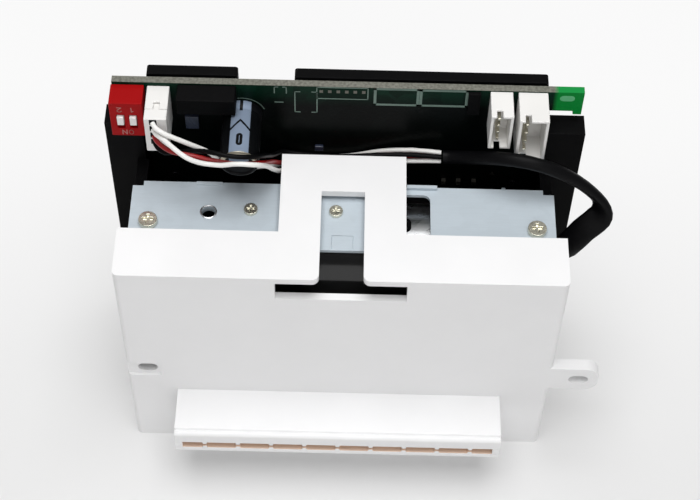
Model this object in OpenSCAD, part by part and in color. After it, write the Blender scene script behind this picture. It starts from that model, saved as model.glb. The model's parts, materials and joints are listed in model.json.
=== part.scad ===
// A compact bill validator: a ribbed note mouth, a straight note path with two geared roller pairs,
// an upright main board and a wired sensor board, behind a plain front cover.
// Millimetres, +Z up, the mouth faces -Y. The origin is on the underside, on the middle plane.

/* [Front cover] */
// Width of the front cover
cover_w = 90; // [87:0.5:98]
// Height of the front cover
cover_h = 62.2; // [61.6:0.2:70]
// Depth of the cover's rim behind the front face
cover_depth = 11.6; // [10.5:0.1:14]
// Wall of the cover
cover_wall = 1.6; // [1.2:0.1:2.2]
// Radius of the cover's upright front edges
cover_edge_r = 1.2; // [0.4:0.1:1.6]
// Width of the tab behind the top rim
tab_w = 25.6; // [18:0.2:32]
// Reach of the tab behind the front face
tab_reach = 31.4; // [26:0.2:32]
// Width of the slot along the tab
tee_w = 8.8; // [6:0.2:12]
// Length of that slot from the front face
tee_len = 22; // [14:0.5:25]
// Radius where the slot meets the front face
tee_r = 1.4; // [0.4:0.1:2]
// Width of the window in the front face
window_w = 26.2; // [16:0.2:40]
// Height of that window
window_h = 5.2; // [4.5:0.1:8]

/* [Note mouth] */
// Width of the mouth's outside
nose_w = 69.6; // [68.6:0.2:76]
// Reach of the mouth in front of the cover
nose_reach = 11.2; // [6:0.2:16]
// Height of the mouth's top above the floor
nose_top = 19.6; // [19:0.1:21]
// Height of the mouth's outside
nose_h = 6.8; // [6:0.1:8]
// Width of the note slot
slot_w = 66.2; // [60:0.2:67]
// Height of the note slot
slot_h = 2.1; // [1.7:0.1:2.6]
// Thickness of the lip under the slot
lip_h = 1.3; // [0.8:0.1:1.8]
// Number of ribs across the slot
rib_count = 9; // [3:2:9]
// Distance between ribs
rib_pitch = 7.1; // [4:0.1:7.8]
// Thickness of a rib
rib_w = 1; // [0.5:0.1:1.4]
// Free height between facing ribs
note_gap = 0.8; // [0.6:0.1:1.4]
// Width and depth of the groove behind the mouth's front edge
groove = 0.5; // [0.3:0.1:0.8]

/* [Panel screws] */
// Reach of the screw ear beyond the cover's side
ear_reach = 10; // [8:0.2:14]
// Height of the screw ear
ear_h = 7.8; // [6:0.2:10]
// Thickness of the screw ear and of the pocket's seat
ear_t = 2.6; // [2:0.1:2.7]
// Radius of the ear's corners
ear_r = 3.2; // [1:0.1:3.8]
// Height of both screw slots above the floor
screw_z = 27.4; // [25:0.1:30]
// Width of a screw slot
screw_slot_w = 2.8; // [2.2:0.1:3.4]
// Length of a screw slot
screw_slot_len = 4.2; // [3.6:0.1:5]
// Distance of the ear's slot beyond the cover's side
ear_screw_out = 5.7; // [5:0.1:6.5]
// Distance of the pocket's slot inside the cover's other side
pocket_screw_in = 4.4; // [3.6:0.1:5]
// Width of the open-sided pocket
pocket_w = 7.2; // [7:0.1:9]
// Height of the pocket
pocket_h = 4.6; // [4:0.1:6]
// Depth of the pocket
pocket_d = 0.6; // [0.6:0.1:1.5]

/* [Frame] */
// Distance from the origin forward to the cover's face
front_reach = 20; // [20:0.2:24]
// Distance from the origin back to the rear panel
rear_reach = 12; // [12:0.2:16]
// Gap between the front face and the parts of the frame
front_gap = 2.8; // [2.8:0.1:4]
// Clearance between the side frames and the cover
side_gap = 0.4; // [0.3:0.1:0.8]
// Thickness of a side frame
frame_t = 2.4; // [2:0.1:3]
// Thickness of the bottom cover
base_t = 1.5; // [1.2:0.1:1.8]
// Height of the cover's side latches above the floor
latch_z = 46; // [40:0.5:50]

/* [Top bracket] */
// Sheet thickness of the top bracket
bracket_t = 0.8; // [0.6:0.1:1]
// Step from the cover's top down to the bracket's top
bracket_drop = 2.8; // [2.2:0.1:2.8]
// Distance from the front face to the bracket's front edge
bracket_front = 9.3; // [8:0.1:10.5]
// Distance from the front face to the bracket's rear edge
bracket_rear = 25.7; // [25:0.1:27]
// Height of the bracket's folded rear flange
flange_h = 3; // [1.5:0.1:3.4]
// Half the distance between the large screws
bracket_screw_x = 39.3; // [38.6:0.1:39.8]
// Distance from the front face to the large screws
bracket_screw_y = 15.2; // [15:0.1:18]
// Distance from the middle plane to the first guide screw
guide_screw_a = -18.7; // [-19:0.1:-18]
// Distance from the motor's rear end to the second guide screw
guide_screw_b = 4; // [3.2:0.1:5]
// Distance from the front face to the guide screws
guide_screw_y = 18.7; // [18.6:0.1:19.2]
// Distance from the middle plane to the spare threaded hole
spare_hole_x = -27.3; // [-32:0.1:-24]
// Radius of the spare threaded hole
spare_hole_r = 1.4; // [1:0.05:1.6]
// Right edge of the window over the motor
motor_window_x = 17.8; // [15:0.1:24]
// Width of the window over the motor
motor_window_w = 10; // [6:0.1:12]

/* [Note path and rollers] */
// Height of the note path between the guides
path_h = 2.3; // [2:0.1:2.8]
// Thickness of a guide
guide_t = 2; // [1.6:0.1:2.2]
// Width of the guides
guide_w = 71.2; // [70.6:0.1:71.4]
// Radius of the rubber drive tyres
drive_r = 6; // [5.5:0.1:6.2]
// Radius of the pinch rollers
pinch_r = 4.5; // [4.2:0.1:4.8]
// Width of every roller
roller_w = 8; // [5:0.2:9]
// Distance of the rollers from the middle plane
roller_x = 27; // [26.6:0.1:27.4]
// Gap between a drive tyre and its pinch roller
nip = 0.2; // [0.1:0.05:0.4]
// Diameter of the drive shafts
shaft_d = 3; // [2.5:0.1:3]
// Diameter of the pinch axles and of the flap's axle
axle_d = 2; // [1.6:0.1:2.2]
// Distance between the two drive shafts
shaft_pitch = 15; // [14.8:0.1:15.4]

/* [Gears and motor] */
// Gear module
gear_m = 0.6; // [0.58:0.01:0.62]
// Teeth of a shaft gear
shaft_teeth = 20; // [18:1:20]
// Teeth of the idler gear
idler_teeth = 30; // [29:1:31]
// Teeth of the compound gear's small wheel
small_teeth = 14; // [13:1:15]
// Teeth of the compound gear's large wheel
large_teeth = 28; // [27:1:28]
// Teeth of the motor's pinion
pinion_teeth = 12; // [12:1:13]
// Thickness of a gear
gear_t = 1.7; // [1.4:0.1:1.8]
// Diameter of the motor's can
motor_d = 24; // [22:0.1:24.2]
// Length of the motor's can
motor_len = 26; // [18:0.2:27]
// Height of the motor's axis above the drive shafts
motor_rise = 36.45; // [36:0.05:36.6]

/* [Rear panel and boards] */
// Width over the rear panel's posts
panel_w = 97.6; // [97:0.2:104]
// Thickness of the rear panel
panel_t = 5; // [4.4:0.1:6]
// Thickness of the wall behind the main board
back_wall_t = 2.4; // [1.8:0.1:3]
// Height of the posts above the cover's top
post_rise = 7.9; // [7.2:0.1:8.2]
// Height of the main board above the cover's top
board_rise = 17.2; // [17:0.1:19]
// Height of the main board
board_h = 33.4; // [31:0.2:33.6]
// Thickness of the main board
board_t = 1.6; // [1.2:0.1:1.6]
// Distance from the rear panel's face back to the board's face
board_inset = 3; // [3:0.1:3.2]
// Diameter of the capacitor
cap_d = 8; // [6.3:0.1:8]
// Length of the capacitor
cap_len = 13.4; // [9:0.1:16]
// Travel of a DIP switch lever
lever_travel = 1.3; // [0.8:0.1:1.3]
// Diameter of one insulated wire
wire_d = 1; // [0.9:0.05:1.15]

/* [Hidden] */

// Overshoot of a cut past the surface that it opens
over = 1;
// Overlap that joins two shapes of one piece
bite = 0.3;
// Radial clearance of a pressed or glued seat
press = 0.02;
// Radial clearance of a running fit
run = 0.05;
// Gap between flat faces that nearly touch
seat_gap = 0.2;
// Extra centre distance of two meshing gears
mesh_play = 0.06;
// Clearance of a part that only passes another
pass = 0.4;
// Radial clearance of a screw in a plain hole
screw_play = 0.2;
// Clearance round a roller or a lamp in a guide
roller_play = 0.5;

// Front, middle and rear planes of the frame
front_y = -front_reach;
cover_inner_y = front_y + cover_wall;
chassis_front = front_y + front_gap;
nose_y = front_y - nose_reach;
frame_out = cover_w / 2 - cover_wall - side_gap;
frame_in = frame_out - frame_t;
bracket_top = cover_h - bracket_drop;
frame_top = bracket_top - bracket_t;
bracket_front_y = front_y + bracket_front;
bracket_rear_y = front_y + bracket_rear;
large_screw_at = [bracket_screw_x, front_y + bracket_screw_y];

// Note path
slot_lo = nose_top - nose_h + lip_h;
slot_hi = slot_lo + slot_h;
note_z = (slot_lo + slot_hi) / 2;
rib_h = (slot_h - note_gap) / 2;
lower_z = note_z - path_h / 2;
upper_z = note_z + path_h / 2;
upper_top = upper_z + guide_t;
rail_w = (guide_w - slot_w) / 2 - roller_play;
drive_z = note_z - nip / 2 - drive_r;
pinch_z = note_z + nip / 2 + pinch_r;
shafts_mid_y = -3;
front_shaft_at = [shafts_mid_y - shaft_pitch / 2, drive_z];
rear_shaft_at = [shafts_mid_y + shaft_pitch / 2, drive_z];
front_pinch_at = [front_shaft_at[0], pinch_z];
rear_pinch_at = [rear_shaft_at[0], pinch_z];
flap_in = 2.6;
flap_up = 2.1;
flap_at = [rear_reach - flap_in, upper_top + flap_up];
flap_finger_x = 6;
flap_finger_w = 3;
flap_slot_half = flap_finger_w / 2 + 0.7;
flap_hub_r = axle_d / 2 + 0.6;
flap_ear_x = 10;
ear_inner_x = roller_x - roller_w / 2 - 2;
ear_outer_x = roller_x + roller_w / 2 + 1.6;
pinch_ear_t = 1.2;
leg_x = 15;
leg_r = 2.2;
leg_front_y = chassis_front + leg_r + 0.1;
leg_rear_y = rear_reach - leg_r - pass;
legs = [for (x = [-leg_x, leg_x], y = [leg_front_y, leg_rear_y]) [x, y]];
sensor_x = 9;
sensor_r = 1.5;
pipe_floor = base_t + 2;
sensor_board_t = 1.2;

// Gears, as [Y, Z] centres on the right side
layer_a = frame_in - pass - 2 * gear_t - pass;
layer_b = frame_in - pass - gear_t;
motor_at = [shafts_mid_y, drive_z + motor_rise];
idler_gap = centre_distance(shaft_teeth, idler_teeth);
idler_at = [shafts_mid_y, drive_z + sqrt(pow(idler_gap, 2) - pow(shaft_pitch / 2, 2))];
compound_at = front_meeting(idler_at, centre_distance(idler_teeth, small_teeth),
                            motor_at, centre_distance(large_teeth, pinion_teeth));
post_r = 1.25;
motor_gear_gap = 3.4;
motor_face_x = layer_a - motor_gear_gap;
motor_left = motor_face_x - motor_len;
motor_cap_t = 3.4;
motor_cap_boss_t = 1;
motor_end_x = motor_left - motor_cap_t - motor_cap_boss_t;
motor_shaft_r = 1;
motor_shaft_in = 2.8;
motor_boss_r = 3;
motor_bracket_t = 0.8;
motor_screw_pitch = 16;
guide_screw_at = [for (x = [guide_screw_a, motor_end_x - guide_screw_b]) [x, front_y + guide_screw_y]];

// Rear panel and main board
board_y = rear_reach + board_inset;
board_top = cover_h + board_rise;
board_low = board_top - board_h;
post_top = cover_h + post_rise;
sill_z = board_low - pass;
panel_back = rear_reach + panel_t;
back_wall_low = 30;
exit_low = lower_z - guide_t;
exit_high = flap_at[1] + 0.1;
case_screw_z = [21, sill_z - 3.1];
board_half = 40.4;
post_inner = board_half + 2 * pass;
board_ear_out = 7.3;
board_ear_h = 5.6;
board_foot_w = 1.7;
board_foot_lift = 2.7;
board_screw_in = 4.4;
board_screw_up = 4;
board_screw_at = [for (s = [-1, 1]) [s * (board_half - board_screw_in), board_low + board_screw_up]];
rear_notch = [-21.7, -10.3];
rear_tabs = [[-board_half + pass, rear_notch[0]], [rear_notch[1], board_half + seat_gap]];
rear_tab_h = 5.4;
rear_tab_r = 0.6;

// Sizes of the board's parts as [X, depth, Z]
dip_size = [6.7, 5.1, 9.9];
dip_out = 6.6;
dip_left = -board_half - dip_out;
dip_top = board_top - 0.7;
lever_size = [1.35, 2.35];
lever_pitch = 2.54;
plug_size = [4.5, 6, 9.9];
plug_reach = 2.8;
plug_in = 0.7;
plug_left = -board_half + plug_in;
plug_top = board_top - 0.9;
small_header_size = [4.5, 6.6, 9.9];
large_header_size = [5.9, 7.6, 12.4];
header_gap = 1.1;
large_header_left = board_half - large_header_size[0];
small_header_left = large_header_left - header_gap - small_header_size[0];
header_top = board_top - 0.2;
header_wall = 0.6;
header_notch = [1.2, 1.8];
small_pin_aside = -0.5;
large_pin_aside = -1.2;
header_floor = 1.4;
pin_w = 0.6;
pin_set_back = 1;
small_pin_pitch = 2;
large_pin_pitch = 2.5;
header_pin_count = 4;
relay_size = [11.7, 4.4, 4.3];
relay_gap = 1.6;
relay_left = plug_left + plug_size[0] + relay_gap;
relay_low = board_top - seat_gap - relay_size[2];
cap_aside = 1;
cap_at = [relay_left + relay_size[0] + cap_aside, relay_low - bite - cap_d / 2];
chip_sizes = [[10, 1.5, 8], [10, 1.5, 4]];
chip_places = [[3, 2], [-14, 3]];
sensor_board_z = pinch_z + pinch_r + 1.75;
link_size = [5, 4.6, 3];
link_at = [35, 6.8];
lead_port = [[-1, 35], [8.9, 45]];

// Screw sizes as [head radius, head height, shank radius], and lengths under the head
large_screw = [1.9, 1.2, 1.3];
small_screw = [1.4, 0.8, 0.85];
case_screw = [1.9, 0.95, 1];
large_recess = [2.2, 0.6, 0.6];
small_recess = [1.6, 0.4, 0.4];
large_screw_len = 5;
guide_screw_len = 7;
spring_screw_len = 3;
case_grip = 2;
leg_grip = 5;
motor_screw_len = 3.8;

// Routes of the four wires from the plug, past the capacitor and under the cover's tab, to the sleeve
upper_white_route = [
    [-37.9, 5.95, 77.7], [-37.2, 4.8, 77.5], [-35.5, 3.9, 77], [-32.6, 3.6, 75.5], [-29.4, 4, 73],
    [-26.6, 4.2, 70.8], [-24.6, 5.2, 66.4], [-21.4, 6.8, 63.4], [-18, 8.8, 61], [-14.5, 11.2, 58.8],
    [-11, 12.8, 57.7], [-5, 14.1, 57.8], [1, 14.3, 58.5], [4.5, 14.2, 59.6], [8, 14, 60.8],
    [14, 13.5, 61.9], [20, 12.8, 62.1]
];
lower_white_route = [
    [-37.9, 5.95, 75.7], [-37.2, 4.7, 75.7], [-35.6, 3.3, 75.8], [-33.4, 1.2, 75.7], [-31, -0.5, 75.2],
    [-28.6, -0.4, 73.6], [-26.3, -0.25, 72.9], [-24, -0.8, 73.4], [-22, -1.1, 74.2], [-20, -1.4, 74.7],
    [-18, -1.2, 74.3], [-16.4, -0.4, 73.2], [-15.1, 2.4, 69.3], [-13.6, 8.3, 60.5], [-10.6, 10.4, 58.5],
    [-6, 11.3, 57.9], [0.5, 11.8, 58.4], [7, 11.9, 59.4], [13.5, 12, 60.2], [20, 11.6, 60.9]
];
red_route = [
    [-37.9, 5.95, 73.7], [-37.2, 4.7, 73.5], [-35.7, 3.3, 73.4], [-34, 2.2, 73.5], [-31.9, 1.3, 74],
    [-29.6, 0.9, 73.9], [-26.8, 0.9, 73], [-24, 0.5, 72.7], [-21.3, 0.4, 72.4], [-19, 0.4, 72.5],
    [-16.9, 1, 72.1], [-15.6, 3.8, 68.8], [-14.7, 7.4, 64.6], [-13.8, 9.5, 61.8], [-13, 11, 59.8],
    [-10, 12.3, 59], [-2, 12.9, 59.3], [7, 12.9, 60.2], [13.5, 13.05, 60.7], [20, 12.8, 60.9]
];
black_route = [
    [-37.9, 5.95, 71.7], [-37.2, 4.7, 71.5], [-35.7, 3.7, 71.3], [-33.4, 3.7, 71.6], [-31, 3.2, 72.6],
    [-28.5, 2.2, 74], [-26.5, 1, 75.2], [-24.5, 0.3, 75.5], [-22.2, -0.1, 75.4], [-19.6, 0.1, 75],
    [-17.5, 1, 74.1], [-15.8, 3.5, 71.4], [-14.8, 8.2, 65.6], [-14, 10.5, 63.3], [-12.6, 12.3, 61.9],
    [-9, 12.5, 61], [-1, 12.2, 60.8], [7, 12.2, 61.7], [14, 12, 62.2], [20, 11.6, 62.1]
];

// Route of the flat sleeve from the wires to the sensor board's plug, and the way its width lies
sleeve_route = [
    [20.4, 12.2, 61.5], [22.6, 11.9, 61.9], [26.4, 9.9, 64.3], [31.2, 6.7, 68.3], [37, 4.9, 69.5],
    [42.4, 4.6, 67.6], [47, 4.6, 64.5], [50.4, 4.4, 61.4], [52.7, 3.9, 58.8], [53.4, 3.1, 56.7],
    [52.9, 2.4, 55.1], [51.5, 1.7, 53.7], [49.8, 1.1, 52], [48.1, 0.8, 48.9], [45.4, 1.6, 43.3],
    [41.7, 4.5, 40.9], [39.3, 6.9, 39.6], [37.6, 8.4, 38], [37.2, 9.1, 36.4], [37.2, 9.1, 35]
];
sleeve_lean = [
    [0, -0.6, 0.8], [0, -0.6, 0.8], [0, -0.6, 0.8], [0, -0.6, 0.8], [0, -0.6, 0.8],
    [0, -0.6, 0.8], [0.1, -0.65, 0.7], [0.35, -0.7, 0.5], [0.55, -0.7, 0.25], [0.65, -0.6, 0],
    [0.7, -0.5, -0.25], [0.7, -0.5, -0.35], [0.75, -0.5, -0.4], [0.8, -0.45, -0.45], [0.75, -0.1, -0.65],
    [0.5, 0.3, -0.8], [0.7, 0.6, -0.4], [1, 0.2, -0.1], [1, 0.1, 0], [1, 0, 0]
];
// Half width and half thickness where the sleeve is round and where it is flat, and the points between
sleeve_round = [1.5, 1.4];
sleeve_flat = [2.8, 0.9];
sleeve_turn = [5, 10];

// Pressure angle of the gear teeth
pressure = 25;
// Thinning of each tooth flank at the pitch circle
flank_play = 0.04;
// Places along a tooth from root to tip, in modules from the pitch circle
tooth_steps = [-1.15, -0.45, 0, 0.45, 0.85];

function centre_distance(teeth_a, teeth_b) = gear_m * (teeth_a + teeth_b) / 2 + mesh_play;

// Point at the given distances from a and b, on the side nearer the front
function front_meeting(a, from_a, b, from_b) =
    let (gap = norm(b - a), along = (from_a * from_a - from_b * from_b + gap * gap) / (2 * gap),
         aside = sqrt(from_a * from_a - along * along), way = (b - a) / gap)
    a + way * along + [-way[1], way[0]] * aside;

function direction(a, b) = atan2(b[1] - a[1], b[0] - a[0]);

// Angle of a tooth of gear b that meshes with gear a, which has a tooth at angle_a
function mesh_angle(angle_a, teeth_a, teeth_b, way) =
    way + 180 - (teeth_a / teeth_b) * (angle_a - way) + 180 / teeth_b;

function involute(base_r, r) =
    r <= base_r ? 0 : let (roll = acos(base_r / r)) tan(roll) * 180 / PI - roll;

function half_tooth(teeth, r) =
    let (pitch_r = gear_m * teeth / 2, base_r = pitch_r * cos(pressure))
    90 / teeth - flank_play / pitch_r * 180 / PI + involute(base_r, pitch_r) - involute(base_r, r);

function polar(r, angle) = [r * cos(angle), r * sin(angle)];

function unit(v) = v / norm(v);

function along(route, k) =
    unit(route[min(k + 1, len(route) - 1)] - route[max(k - 1, 0)]);

// One ring of a swept tube: an ellipse square to the route, its long axis leaning the given way
function ring(route, k, lean, half, sides) =
    let (t = along(route, k), w = unit(lean - t * (lean * t)), n = cross(t, w))
    [for (i = [0:sides - 1]) route[k] + w * (half[0] * cos(360 * i / sides))
                                      + n * (half[1] * sin(360 * i / sides))];

function sleeve_half(k) =
    let (flat = min(1, max(0, (k - sleeve_turn[0]) / (sleeve_turn[1] - sleeve_turn[0]))))
    sleeve_round * (1 - flat) + sleeve_flat * flat;

module box(low, high) { translate(low) cube(high - low); }

module rod_x(r, x0, x1, at) {
    translate([x0, at[0], at[1]]) rotate([0, 90, 0]) cylinder(r = r, h = x1 - x0, $fn = 48);
}

module rod_y(r, y0, y1, at) {
    translate([at[0], y1, at[1]]) rotate([90, 0, 0]) cylinder(r = r, h = y1 - y0, $fn = 48);
}

module rod_z(r, z0, z1, at) {
    translate([at[0], at[1], z0]) cylinder(r = r, h = z1 - z0, $fn = 48);
}

// Extrusion of a [Y, Z] outline along X
module plate_x(x0, x1) { translate([x0, 0, 0]) rotate([90, 0, 90]) linear_extrude(x1 - x0) children(); }

// Extrusion of an [X, Z] outline along Y
module plate_y(y0, y1) { translate([0, y1, 0]) rotate([90, 0, 0]) linear_extrude(y1 - y0) children(); }

module oblong(length, width) {
    square([length - width, width], center = true);
    for (s = [-1, 1]) translate([s * (length - width) / 2, 0]) circle(d = width, $fn = 32);
}

module both_sides() {
    children();
    mirror([1, 0, 0]) children();
}

module tube(rings) {
    sides = len(rings[0]);
    last = len(rings) - 1;
    polyhedron(
        points = [for (r = rings) each r],
        faces = concat(
            [[for (i = [sides - 1:-1:0]) i]],
            [for (k = [0:last - 1], i = [0:sides - 1])
                let (a = k * sides + i, b = k * sides + (i + 1) % sides)
                each [[a, b, b + sides], [a, b + sides, a + sides]]],
            [[for (i = [0:sides - 1]) last * sides + i]]));
}

// Front cover with its tab, T-shaped opening, screw places and the notch for the mouth

module cover_plan() {
    half = cover_w / 2;
    translate([-half, front_y + cover_edge_r]) square([cover_w, cover_depth - cover_edge_r]);
    translate([-half + cover_edge_r, front_y]) square([cover_w - 2 * cover_edge_r, 2 * cover_edge_r]);
    for (s = [-1, 1]) translate([s * (half - cover_edge_r), front_y + cover_edge_r])
        circle(r = cover_edge_r, $fn = 32);
}

module cover_shell() {
    difference() {
        linear_extrude(cover_h) cover_plan();
        box([-cover_w / 2 + cover_wall, cover_inner_y, -over],
            [cover_w / 2 - cover_wall, front_y + cover_depth + over, cover_h - cover_wall]);
    }
    box([-tab_w / 2, front_y + cover_depth - bite, cover_h - cover_wall],
        [tab_w / 2, front_y + tab_reach, cover_h]);
}

module screw_ear() {
    tip = cover_w / 2 + ear_reach;
    plate_y(front_y, front_y + ear_t) {
        translate([cover_w / 2 - 2 * cover_edge_r, screw_z - ear_h / 2])
            square([ear_reach + 2 * cover_edge_r - ear_r, ear_h]);
        translate([tip - 2 * ear_r, screw_z - ear_h / 2 + ear_r]) square([2 * ear_r, ear_h - 2 * ear_r]);
        for (s = [-1, 1]) translate([tip - ear_r, screw_z + s * (ear_h / 2 - ear_r)])
            circle(r = ear_r, $fn = 48);
    }
}

module pocket_seat() {
    box([-cover_w / 2 + cover_wall / 2, cover_inner_y - bite, screw_z - pocket_h / 2 - cover_wall],
        [-cover_w / 2 + pocket_w + cover_wall, front_y + ear_t, screw_z + pocket_h / 2 + cover_wall]);
}

module screw_slot(x) {
    plate_y(front_y - over, front_y + ear_t + over)
        translate([x, screw_z]) oblong(screw_slot_len, screw_slot_w);
}

module tee_opening() {
    box([-tee_w / 2, front_y - over, cover_h - cover_wall - over],
        [tee_w / 2, front_y + tee_len, cover_h + over]);
    box([-window_w / 2, front_y - over, cover_h - cover_wall - window_h],
        [window_w / 2, cover_inner_y + over, cover_h - cover_wall]);
    both_sides() translate([0, 0, cover_h - cover_wall - bite]) linear_extrude(cover_wall + over)
        difference() {
            translate([tee_w / 2 - bite, front_y - over]) square([tee_r + bite, tee_r + over]);
            translate([tee_w / 2 + tee_r, front_y + tee_r]) circle(r = tee_r, $fn = 32);
        }
}

latch_w = 3;
latch_h = 6;
latch_y = front_y + cover_depth - 4.5;

module front_cover() {
    color("white") difference() {
        union() {
            cover_shell();
            screw_ear();
            pocket_seat();
        }
        box([-nose_w / 2 - press, front_y - over, -over],
            [nose_w / 2 + press, cover_inner_y + over, nose_top + press]);
        tee_opening();
        box([-cover_w / 2 - over, front_y - over, screw_z - pocket_h / 2],
            [-cover_w / 2 + pocket_w, front_y + pocket_d, screw_z + pocket_h / 2]);
        screw_slot(cover_w / 2 + ear_screw_out);
        screw_slot(-cover_w / 2 + pocket_screw_in);
        both_sides() box([frame_out, latch_y - latch_w / 2, latch_z - latch_h / 2],
                         [cover_w / 2 + over, latch_y + latch_w / 2, latch_z + latch_h / 2]);
    }
}

// Note mouth: a top block, a lip with the wall below it and two cheeks, welded along hairline seams

module mouth_ribs(low, high) {
    for (i = [0:rib_count - 1]) {
        x = (i - (rib_count - 1) / 2) * rib_pitch;
        box([x - rib_w / 2, nose_y, low], [x + rib_w / 2, cover_inner_y, high]);
    }
}

module mouth_top() {
    plate_x(-nose_w / 2, nose_w / 2) polygon([
        [cover_inner_y, slot_hi], [nose_y, slot_hi], [nose_y, nose_top - groove],
        [nose_y + groove, nose_top], [nose_y + 2 * groove, nose_top],
        [nose_y + 2 * groove, nose_top - groove], [nose_y + 3 * groove, nose_top - groove],
        [nose_y + 3 * groove, nose_top], [cover_inner_y, nose_top]]);
    mouth_ribs(slot_hi - rib_h, slot_hi + bite);
}

module mouth_lip() {
    low = nose_top - nose_h;
    plate_x(-nose_w / 2, nose_w / 2) polygon([
        [front_y, 0], [cover_inner_y, 0], [cover_inner_y, slot_lo], [nose_y, slot_lo], [nose_y, low],
        [front_y, low]]);
    mouth_ribs(slot_lo - bite, slot_lo + rib_h);
}

module mouth() {
    color("white") {
        mouth_top();
        mouth_lip();
        both_sides() box([slot_w / 2, nose_y, slot_lo + press],
                         [nose_w / 2, cover_inner_y, slot_hi - press]);
    }
}

// Side frames, bottom cover and rear panel

bush_r = shaft_d / 2 + 1;
screw_boss = 3.2;
screw_boss_h = 6;
case_boss = [2.4, 3, 5];

module side_frame() {
    difference() {
        union() {
            box([frame_in, chassis_front, base_t], [frame_out, rear_reach, frame_top]);
            box([bracket_screw_x - screw_boss, large_screw_at[1] - screw_boss, frame_top - screw_boss_h],
                [frame_in + bite, large_screw_at[1] + screw_boss, frame_top]);
            for (z = case_screw_z)
                box([frame_in - case_boss[0], rear_reach - case_boss[1], z - case_boss[2] / 2],
                    [frame_in + bite, rear_reach, z + case_boss[2] / 2]);
            box([frame_out - bite, latch_y - latch_w / 2 + pass, latch_z - latch_h / 2 + pass],
                [cover_w / 2 - cover_wall / 2, latch_y + latch_w / 2 - pass, latch_z + latch_h / 2 - pass]);
        }
        for (at = [front_shaft_at, rear_shaft_at])
            rod_x(bush_r + press, frame_in - over, frame_out + over, at);
        rod_z(large_screw[2] + press, frame_top - screw_boss_h + over, frame_top + over, large_screw_at);
        for (z = case_screw_z)
            rod_y(case_screw[2] + press, rear_reach - case_boss[1] + roller_play, rear_reach + over,
                  [frame_in, z]);
    }
}

module left_side_frame() {
    color("#1b1b1d") difference() {
        mirror([1, 0, 0]) side_frame();
        box([-frame_out - over, chassis_front - over, screw_z - screw_slot_len],
            [-frame_in + over, chassis_front + ear_h, screw_z + screw_slot_len]);
    }
}

module right_side_frame() {
    color("#1b1b1d") difference() {
        side_frame();
        for (at = [idler_at, compound_at]) rod_x(post_r + press, frame_in - over, frame_out + over, at);
        box([frame_in - over, lead_port[0][0], lead_port[0][1]],
            [frame_out + over, lead_port[1][0], lead_port[1][1]]);
    }
}

module bottom_cover() {
    color("#1b1b1d") difference() {
        union() {
            box([-frame_out, chassis_front, 0], [frame_out, rear_reach, base_t]);
            for (x = [-sensor_x, sensor_x], y = [leg_front_y + 1, leg_rear_y - 1])
                rod_z(board_post_r, base_t - bite, pipe_floor, [x, y]);
        }
        for (at = legs) {
            rod_z(case_screw[2] + press, -over, base_t + over, at);
            rod_z(case_screw[0] + press, -over, case_screw[1], at);
        }
    }
}

module rear_tab(span, front, back, low, high) {
    box([span[0], front, low], [span[1], back, high - rear_tab_r]);
    box([span[0] + rear_tab_r, front, low], [span[1] - rear_tab_r, back, high]);
    for (x = [span[0] + rear_tab_r, span[1] - rear_tab_r])
        rod_y(rear_tab_r, front, back, [x, high - rear_tab_r]);
}

module rear_panel() {
    half = panel_w / 2;
    wall_half = post_inner + bite;
    wall_back = panel_back + back_wall_t;
    tab_low = board_top - rear_tab_h;
    tab_top = board_top + pass;
    shelf_z = dip_top - dip_size[2] - pass;
    color("#1b1b1d") difference() {
        union() {
            box([-half, rear_reach, 0], [half, panel_back, sill_z]);
            box([post_inner, rear_reach, sill_z - bite], [half, panel_back, post_top]);
            box([-half, rear_reach, sill_z - bite], [-post_inner, panel_back, shelf_z]);
            box([-half, rear_reach, sill_z - bite], [dip_left - seat_gap, panel_back, post_top]);
            box([-wall_half, panel_back - bite, back_wall_low], [wall_half, wall_back, sill_z]);
            box([-wall_half, panel_back, sill_z - bite], [wall_half, wall_back, tab_low]);
            for (span = rear_tabs) rear_tab(span, panel_back, wall_back, tab_low - bite, tab_top);
        }
        box([-guide_w / 2, rear_reach - over, exit_low], [guide_w / 2, panel_back + over, exit_high]);
        for (x = [-frame_in, frame_in], z = case_screw_z) {
            rod_y(case_screw[2] + press, rear_reach - over, panel_back + over, [x, z]);
            rod_y(case_screw[0] + pass, panel_back, wall_back + over, [x, z]);
        }
        for (at = board_screw_at)
            rod_y(small_screw[2] + press, panel_back - over, wall_back + over, at);
    }
}

// Zinc-plated top bracket with its folded edge, lug, window and holes

module top_bracket() {
    half = frame_out + side_gap / 2;
    notch = [2.2, 1.2];
    lugs = [[13, 19.2, bracket_t], [-30.2, -24.8, 0.25]];
    collar_t = 0.6;
    spare_hole_at = [spare_hole_x, guide_screw_at[0][1] - 0.5];
    color("#b9c0c8") difference() {
        union() {
            box([-half, bracket_front_y, frame_top], [half, bracket_rear_y, bracket_top]);
            box([-frame_in + pass, bracket_rear_y - bracket_t, frame_top - flange_h],
                [frame_in - pass, bracket_rear_y, frame_top + bite]);
            for (lug = lugs)
                box([lug[0], bracket_rear_y - bracket_t, bracket_top - bite],
                    [lug[1], bracket_rear_y, bracket_top + lug[2]]);
            rod_z(spare_hole_r + collar_t, frame_top - bracket_t, frame_top + bite, spare_hole_at);
        }
        both_sides() box([half - notch[0], bracket_rear_y - notch[1], frame_top - over],
                         [half + over, bracket_rear_y + over, bracket_top + over]);
        both_sides()
            rod_z(large_screw[2] + screw_play, frame_top - over, bracket_top + over, large_screw_at);
        for (at = guide_screw_at)
            rod_z(small_screw[2] + screw_play, frame_top - over, bracket_top + over, at);
        rod_z(spare_hole_r, frame_top - 2 * over, bracket_top + over, spare_hole_at);
        translate([0, 0, frame_top - over]) linear_extrude(bracket_t + 2 * over) motor_window();
        tongue_line();
    }
}

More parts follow.
